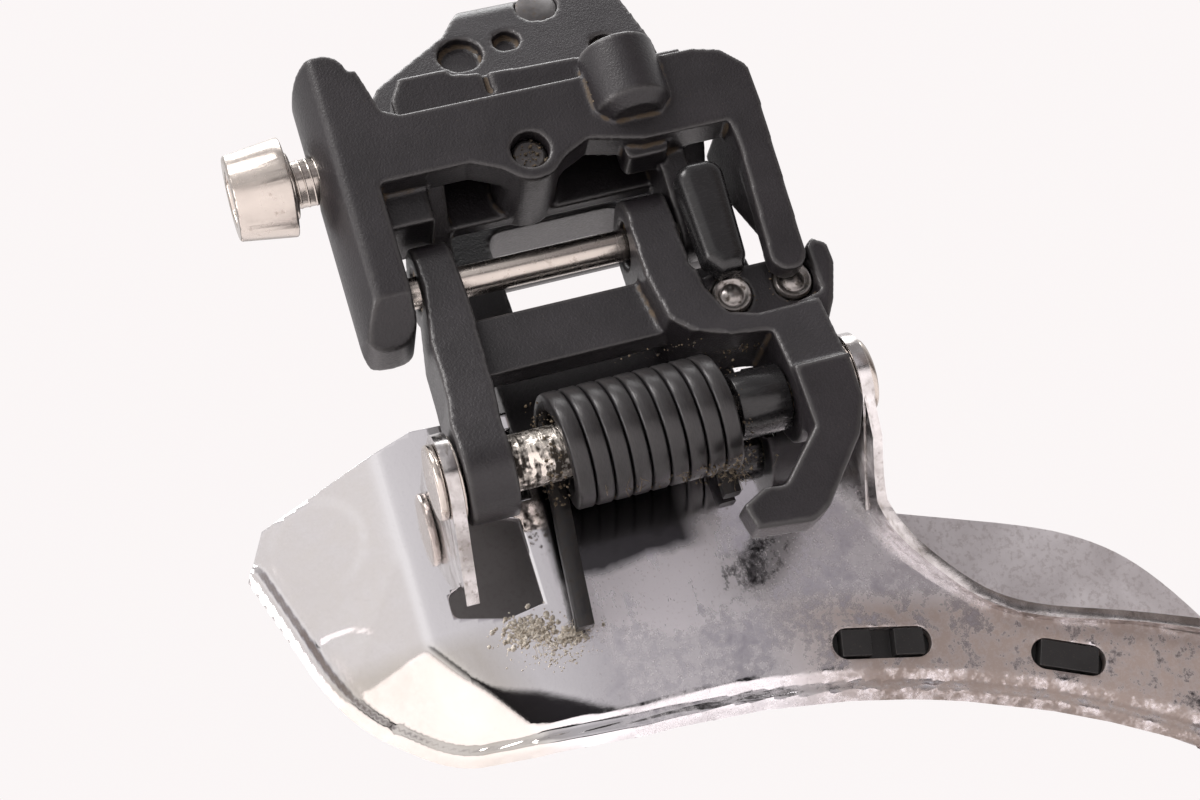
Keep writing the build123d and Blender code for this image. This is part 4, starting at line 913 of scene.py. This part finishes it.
class FD_OT_hardware(bpy.types.Operator):
    """Turn the bolts, screws, axles, rivets and bushes"""
    bl_idname = "derailleur.hardware"
    bl_label = "Screws and axles"

    def execute(self, context):
        wish = context.scene.fd_hardware
        steel = paint_steel()
        dark = paint_dark_steel()
        bronze = paint_bronze()
        # clamp bolt: tapered head, short collar, thread
        low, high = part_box("clamp_bolt")
        bolt = middle("clamp_bolt")
        bm = node_copy("clamp_bolt")
        mesh = mesh_from(bm, "clamp_bolt", smooth=False)
        mesh = evaluated(mesh, "clamp_bolt", (
            ("BEVEL", {"width": 0.35 * MM, "segments": 3, "limit_method": "ANGLE",
                       "angle_limit": math.radians(30), "harden_normals": True}),
        ))
        bm = bmesh.new()
        bm.from_mesh(mesh)
        thread(bm, Vector((low.x + 6.0 * MM, bolt.y, bolt.z)), (1, 0, 0), (0, 0, 1),
               high.x - low.x - 7.5 * MM, 2.5 * MM, 2.12 * MM, wish.thread_pitch)
        mesh = mesh_from(bm, "clamp_bolt")
        mesh.set_sharp_from_angle(angle=math.radians(40))
        settle("steel_clamp_bolt", mesh, steel, "clamp_bolt", "clamp_bolt")
        for node, body, paint, slot, width in (
            ("support_bolt", "support_bolt", dark, "dark_steel", 0.15),
            ("upper_inner_axle", "base", steel, "bright_steel", 0.15),
            ("upper_outer_axle", "base", paint_smooth_black(), "bright_steel", 0.12),
            ("axle_rings", "base", dark, "dark_steel", 0.1),
            ("lower_inner_axle", "cage", steel, "bright_steel", 0.3),
            ("lower_outer_axle", "cage", steel, "bright_steel", 0.2),
            ("front_rivet", "cage", steel, "bright_steel", 0.25),
            ("tail_spacer", "cage", steel, "bright_steel", 0.15),
            ("tail_screw", "tail_screw", steel, "bright_steel", 0.2),
            ("cable_clamp_plate", "outer_link", dark, "dark_steel", 0.2),
            ("cable_clamp_bolt", "cable_clamp_bolt", dark, "dark_steel", 0.25),
            ("inner_link_bushes", "inner_link", bronze, "bronze", 0.08),
            ("outer_link_bushes", "outer_link", bronze, "bronze", 0.08),
            ("side_washers", "cage", steel, "bright_steel", 0.06),
        ):
            mesh = bevelled(node, width * MM)
            settle("turned_" + node, mesh, paint, body, node)
        # limit screws with ringed, domed tips
        for node in ("low_limit_screw", "high_limit_screw"):
            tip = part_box(node)[0]
            place = middle(node)
            bm = node_copy(node)
            bmesh.ops.bisect_plane(
                bm, geom=everything(bm), plane_co=(0, tip.y + 0.5 * MM, 0), plane_no=(0, 1, 0),
                clear_inner=True, dist=1e-7)
            ring_profile(
                bm, ((0.50 * MM, 2.03 * MM), (0.20 * MM, 2.03 * MM), (0.0, 1.84 * MM), (0.0, 1.52 * MM),
                     (0.36 * MM, 1.38 * MM), (0.36 * MM, 1.08 * MM), (0.08 * MM, 0.92 * MM), (0.0, 0.0)),
                Vector((place.x, tip.y, place.z)), axis=(0, 1, 0), across=(1, 0, 0))
            mesh = mesh_from(bm, node)
            mesh.set_sharp_from_angle(angle=math.radians(40))
            settle("ringed_" + node, mesh, paint_worn_tip(), node, node)
        return {"FINISHED"}


def beside(axle, x, radius, angle):
    """Point at a radius and an angle from an axle that runs along X."""
    return (x, axle.y + radius * math.cos(angle), axle.z + radius * math.sin(angle))


def scatter(bm, rng, count, centre, spread, size, flat=None):
    """Small broken grains thrown round a point; spread is a half size along each axis."""
    for _ in range(count):
        place = Vector([c + rng.gauss(0, 0.5) * s for c, s in zip(centre, spread)])
        if flat is not None:
            place.y = flat - 0.3 * size * rng.random()
        grow = size * (0.35 + 1.1 * rng.random() ** 2)
        turn = Matrix.Rotation(rng.random() * math.tau, 4, Vector((rng.random(), rng.random(), 1)))
        stretch = Matrix.Diagonal((
            grow, grow * (0.5 + 0.5 * rng.random()), grow * (0.5 + 0.4 * rng.random()), 1))
        bmesh.ops.create_icosphere(
            bm, subdivisions=1, radius=0.5, matrix=Matrix.Translation(place) @ turn @ stretch)


def hairs(bm, rng, count, centre, spread, length):
    """Short bent fibres caught in the grease."""
    for _ in range(count):
        place = Vector([c + rng.gauss(0, 0.5) * s for c, s in zip(centre, spread)])
        way = Vector((rng.gauss(0, 1), rng.gauss(0, 0.4), rng.gauss(-0.3, 1))).normalized()
        side = way.orthogonal().normalized() * 0.035 * MM
        lift = way.cross(side).normalized() * 0.035 * MM
        ring = [bm.verts.new(place + a) for a in (side, lift, -side, -lift)]
        edges = [bm.edges.new((ring[i], ring[(i + 1) % 4])) for i in range(4)]
        for _ in range(4):
            grown = bmesh.ops.extrude_edge_only(bm, edges=edges)
            verts = [g for g in grown["geom"] if isinstance(g, bmesh.types.BMVert)]
            edges = [g for g in grown["geom"] if isinstance(g, bmesh.types.BMEdge)
                     and all(v in verts for v in g.verts)]
            way = (way + Vector((rng.gauss(0, 0.4), rng.gauss(0, 0.2), rng.gauss(0, 0.4)))).normalized()
            bmesh.ops.translate(bm, verts=verts, vec=way * length / 4)


class FD_OT_grit(bpy.types.Operator):
    """Put dry dirt where it collects: spring ends, foot, screw pockets and the plate under the leg"""
    bl_idname = "derailleur.grit"
    bl_label = "Dirt"

    def execute(self, context):
        wish = context.scene.fd_spring
        rng = random.Random(11)
        axle = middle("lower_inner_axle")
        spring_low, spring_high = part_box("torsion_spring")
        plate = context.scene.fd_cage.plate_y
        grit = paint_grit()
        bm = bmesh.new()
        # both ends of the spring
        for x, count in (
            (spring_low.x - 0.5 * MM, 90), (spring_low.x + 0.6 * MM, 60), (spring_high.x + 0.6 * MM, 60),
        ):
            for _ in range(count):
                angle = rng.random() * math.tau
                radius = (3.0 + 2.6 * rng.random()) * MM
                centre = beside(axle, x + rng.gauss(0, 0.35) * MM, radius, angle)
                scatter(bm, rng, 1, centre, (0.2 * MM,) * 3, 0.34 * MM)
        # in the gaps between the turns, mostly below
        for turn in range(1, 10):
            x = spring_low.x + turn * wish.pitch
            for _ in range(26):
                angle = math.radians(rng.choice((rng.gauss(215, 35), rng.uniform(90, 270))))
                radius = wish.radius - (0.25 + 0.25 * rng.random()) * MM
                centre = beside(axle, x + 0.16 * MM * (turn / 9), radius, angle)
                scatter(bm, rng, 1, centre, (0.10 * MM,) * 3, 0.17 * MM)
        # under the coil and behind the foot
        scatter(bm, rng, 120, (31.0 * MM, -4.0 * MM, -41.5 * MM), (3.2 * MM, 2.0 * MM, 1.2 * MM), 0.30 * MM)
        scatter(bm, rng, 70, (26.0 * MM, -4.0 * MM, -41.2 * MM), (6.0 * MM, 1.5 * MM, 0.5 * MM), 0.22 * MM)
        hairs(bm, rng, 26, (30.5 * MM, -4.0 * MM, -42.0 * MM), (3.5 * MM, 1.5 * MM, 1.0 * MM), 1.6 * MM)
        hairs(bm, rng, 10, (23.0 * MM, -5.0 * MM, -41.2 * MM), (6.0 * MM, 1.0 * MM, 0.4 * MM), 1.1 * MM)
        settle("dirt_on_cage", mesh_from(bm, "dirt_on_cage", smooth=False), grit, "cage")
        # pale crust on the plate round the end of the leg
        bm = bmesh.new()
        scatter(bm, rng, 420, (8.6 * MM, 0, -49.8 * MM), (3.0 * MM, 0, 1.5 * MM), 0.50 * MM, flat=plate)
        scatter(bm, rng, 260, (12.6 * MM, 0, -51.4 * MM), (2.2 * MM, 0, 0.9 * MM), 0.45 * MM, flat=plate)
        scatter(bm, rng, 160, (11.0 * MM, 0, -53.0 * MM), (3.6 * MM, 0, 1.6 * MM), 0.26 * MM, flat=plate)
        hairs(
            bm, rng, 16, (10.8 * MM, plate - 0.6 * MM, -51.0 * MM), (3.4 * MM, 0.4 * MM, 1.6 * MM), 1.8 * MM)
        pale = paint_grit("pale_dust", (0.55, 0.48, 0.39), (0.97, 0.91, 0.81))
        settle("dust_on_plate", mesh_from(bm, "dust_on_plate", smooth=False), pale, "cage")
        # screw pockets of the inner link
        bm = bmesh.new()
        for node in ("low_limit_screw", "high_limit_screw"):
            place = middle(node)
            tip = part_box(node)[0].y
            for _ in range(55):
                angle = rng.random() * math.tau
                radius = (2.1 + 0.5 * rng.random()) * MM
                centre = (
                    place.x + radius * math.cos(angle), tip + 0.6 * MM, place.z + radius * math.sin(angle))
                scatter(bm, rng, 1, centre, (0.15 * MM,) * 3, 0.26 * MM)
        scatter(bm, rng, 60, (36.0 * MM, -3.0 * MM, -29.5 * MM), (3.0 * MM, 0.8 * MM, 0.5 * MM), 0.26 * MM)
        scatter(bm, rng, 26, (28.0 * MM, -5.0 * MM, -28.5 * MM), (6.0 * MM, 0.8 * MM, 0.5 * MM), 0.24 * MM)
        settle("dirt_on_inner_link", mesh_from(bm, "dirt_on_inner_link", smooth=False), grit, "inner_link")
        # socket of the support bolt, the seam beside the post
        bm = bmesh.new()
        bolt = middle("support_bolt")
        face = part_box("support_bolt")[0].y
        scatter(bm, rng, 120, (bolt.x, face + 0.1 * MM, bolt.z), (1.5 * MM, 0.35 * MM, 1.5 * MM), 0.36 * MM)
        post_x = 29.3 * MM
        scatter(bm, rng, 46, (post_x, -6.0 * MM, 0.6 * MM), (0.25 * MM, 0.2 * MM, 2.6 * MM), 0.30 * MM)
        settle("dirt_on_base", mesh_from(bm, "dirt_on_base", smooth=False), grit, "base")
        # recesses of the cable arm
        bm = bmesh.new()
        arm = middle("cable_clamp_bolt")
        for x, up, reach in ((22.6, -5.4, 2.4), (28.4, -4.6, 1.5), (25.5, -5.6, 3.4), (33.0, 0.5, 2.2)):
            centre = (x * MM, arm.y + (-4.3 + up * 0.26) * MM, arm.z + (up * 0.966 - 2.0) * MM)
            scatter(bm, rng, 90, centre, (reach * MM, 0.4 * MM, reach * 0.7 * MM), 0.55 * MM)
        settle("dirt_on_arm", mesh_from(bm, "dirt_on_arm", smooth=False), grit, "outer_link")
        return {"FINISHED"}


class FD_OT_stage(bpy.types.Operator):
    """Set up the floor, the lights and the camera"""
    bl_idname = "derailleur.stage"
    bl_label = "Stage"

    def execute(self, context):
        wish = context.scene.fd_stage
        scene = context.scene
        low = CAD_BOX[0]
        # floor
        bm = bmesh.new()
        bmesh.ops.create_grid(bm, x_segments=4, y_segments=4, size=1.6)
        bmesh.ops.translate(bm, verts=bm.verts, vec=(0, 0, low.z - wish.floor_drop))
        p = Paint("pale_floor")
        mottle = p.grain(0.05, detail=2.0)
        tone = tuple(wish.pale)
        colour = p.mix(mottle, tuple(c * 0.97 for c in tone), tone)
        sheet = p.finish(Base_Color=colour, Roughness=0.6)
        floor = settle("floor", mesh_from(bm, "floor"), sheet, None)
        floor.visible_diffuse = False
        # camera
        heading, rise, roll = wish.heading, wish.rise, wish.roll
        ahead = Vector((
            math.sin(heading) * math.cos(rise), math.cos(heading) * math.cos(rise), math.sin(rise)))
        right = Vector((math.cos(heading), -math.sin(heading), 0))
        above = right.cross(ahead)
        side = right * math.cos(roll) - above * math.sin(roll)
        top = right * math.sin(roll) + above * math.cos(roll)
        camera = bpy.data.objects.new("camera", bpy.data.cameras.new("camera"))
        scene.collection.objects.link(camera)
        camera.data.lens = wish.lens
        camera.data.sensor_width = 36
        camera.data.clip_start = 0.005
        turn = Matrix((side, top, -ahead)).transposed().to_4x4()
        camera.matrix_world = Matrix.Translation(wish.camera_place) @ turn
        scene.camera = camera
        # lights
        aim = Vector((25 * MM, 0, -30 * MM))

        def softbox(name, place, size, power, tint=(1, 1, 1)):
            lamp = bpy.data.lights.new(name, "AREA")
            lamp.shape = "RECTANGLE"
            lamp.size, lamp.size_y = size
            lamp.energy = power
            lamp.color = tint
            shone = bpy.data.objects.new(name, lamp)
            scene.collection.objects.link(shone)
            shone.location = place
            shone.rotation_mode = "QUATERNION"
            shone.rotation_quaternion = (aim - Vector(place)).to_track_quat("-Z", "Y")

        softbox("key_light", (-0.30, -0.40, 0.60), (0.42, 0.30), 4.2, (1, 0.97, 0.96))
        softbox("top_light", (0.1, 0.15, 0.7), (0.6, 0.4), 4.0)
        softbox("side_light", (-0.55, -0.25, 0.05), (0.20, 0.30), 1.2, (1, 0.96, 0.95))
        # world: even pale behind the object, a studio with darker walls for the reflections
        world = bpy.data.worlds.new("studio")
        scene.world = world
        world.use_nodes = True
        tree = world.node_tree
        tree.nodes.clear()
        p = Paint.__new__(Paint)
        p.tree = tree
        way = p.node("ShaderNodeTexCoord").outputs["Generated"]
        parts = p.node("ShaderNodeSeparateXYZ", None, {"Vector": way})
        x = Sum(p, parts.outputs["X"])
        y = Sum(p, parts.outputs["Y"])
        z = Sum(p, parts.outputs["Z"])
        ahead_share = (0.0 - y).over(0.0, 0.35)
        depth = (0.0 - y).math("MAXIMUM", 0.05)
        sideways = x / depth
        height = z / depth
        panel = p.mix(sideways.over(0.02, 0.26), (0.98, 0.95, 0.95), (0.40, 0.375, 0.40))
        panel = p.mix(sideways.over(0.30, 0.46), panel, (0.26, 0.215, 0.20))
        dark = (1.0 - height.over(0.11, 0.16)) * sideways.over(-0.20, 0.0)
        panel = p.mix(dark.clamped(), panel, (0.022, 0.020, 0.022))
        left_glow = (1.0 - height.over(0.35, 0.8)) * (0.0 - sideways).over(0.15, 0.5)
        panel = p.mix(left_glow.clamped(), panel, (0.85, 0.81, 0.80))
        front = p.mix(height.over(0.5, 1.1), panel, (0.50, 0.48, 0.49))
        back = p.mix(z.over(-0.1, 0.5), (0.40, 0.38, 0.385), (0.95, 0.92, 0.92))
        room = p.mix(ahead_share, back, front)
        room = p.mix(z.over(-0.25, -0.02), (0.035, 0.032, 0.033), room)
        seen = p.node("ShaderNodeLightPath").outputs["Is Camera Ray"]
        colour = p.mix(seen, room, tuple(wish.pale))
        glow = p.node("ShaderNodeBackground", None, {"Color": colour, "Strength": 1.0})
        end = p.node("ShaderNodeOutputWorld")
        tree.links.new(glow.outputs[0], end.inputs[0])
        scene.view_settings.view_transform = "Standard"
        return {"FINISHED"}


class FD_PT_panel(bpy.types.Panel):
    """Sizes, colours and the pieces in the order they are built"""
    bl_label = "Front derailleur"
    bl_idname = "FD_PT_panel"
    bl_space_type = "VIEW_3D"
    bl_region_type = "UI"
    bl_category = "Derailleur"

    def draw(self, context):
        layout = self.layout
        for title, group, operators in PANEL_ROWS:
            box = layout.box()
            box.label(text=title)
            held = getattr(context.scene, group)
            for name in held.bl_rna.properties.keys():
                if name not in ("rna_type", "name"):
                    box.prop(held, name)
            for operator in operators:
                box.operator(operator)


PANEL_ROWS = (
    ("Castings", "fd_casting", ("derailleur.castings",)),
    ("Cage", "fd_cage", ("derailleur.cage",)),
    ("Spring", "fd_spring", ("derailleur.spring",)),
    ("Screws and axles", "fd_hardware", ("derailleur.hardware", "derailleur.grit")),
    ("Stage", "fd_stage", ("derailleur.stage",)),
)
GROUPS = (
    ("fd_casting", CastingSettings),
    ("fd_cage", CageSettings),
    ("fd_spring", SpringSettings),
    ("fd_hardware", HardwareSettings),
    ("fd_stage", StageSettings),
)
OPERATORS = (FD_OT_castings, FD_OT_cage, FD_OT_spring, FD_OT_hardware, FD_OT_grit, FD_OT_stage)


def register():
    for name, group in GROUPS:
        bpy.utils.register_class(group)
        setattr(bpy.types.Scene, name, PointerProperty(type=group))
    for operator in OPERATORS:
        bpy.utils.register_class(operator)
    bpy.utils.register_class(FD_PT_panel)


def unregister():
    bpy.utils.unregister_class(FD_PT_panel)
    for operator in reversed(OPERATORS):
        bpy.utils.unregister_class(operator)
    for name, group in reversed(GROUPS):
        delattr(bpy.types.Scene, name)
        bpy.utils.unregister_class(group)


def main():
    register()
    bpy.ops.derailleur.castings()
    bpy.ops.derailleur.cage()
    bpy.ops.derailleur.spring()
    bpy.ops.derailleur.hardware()
    bpy.ops.derailleur.grit()
    bpy.ops.derailleur.stage()


if __name__ == "__main__":
    main()
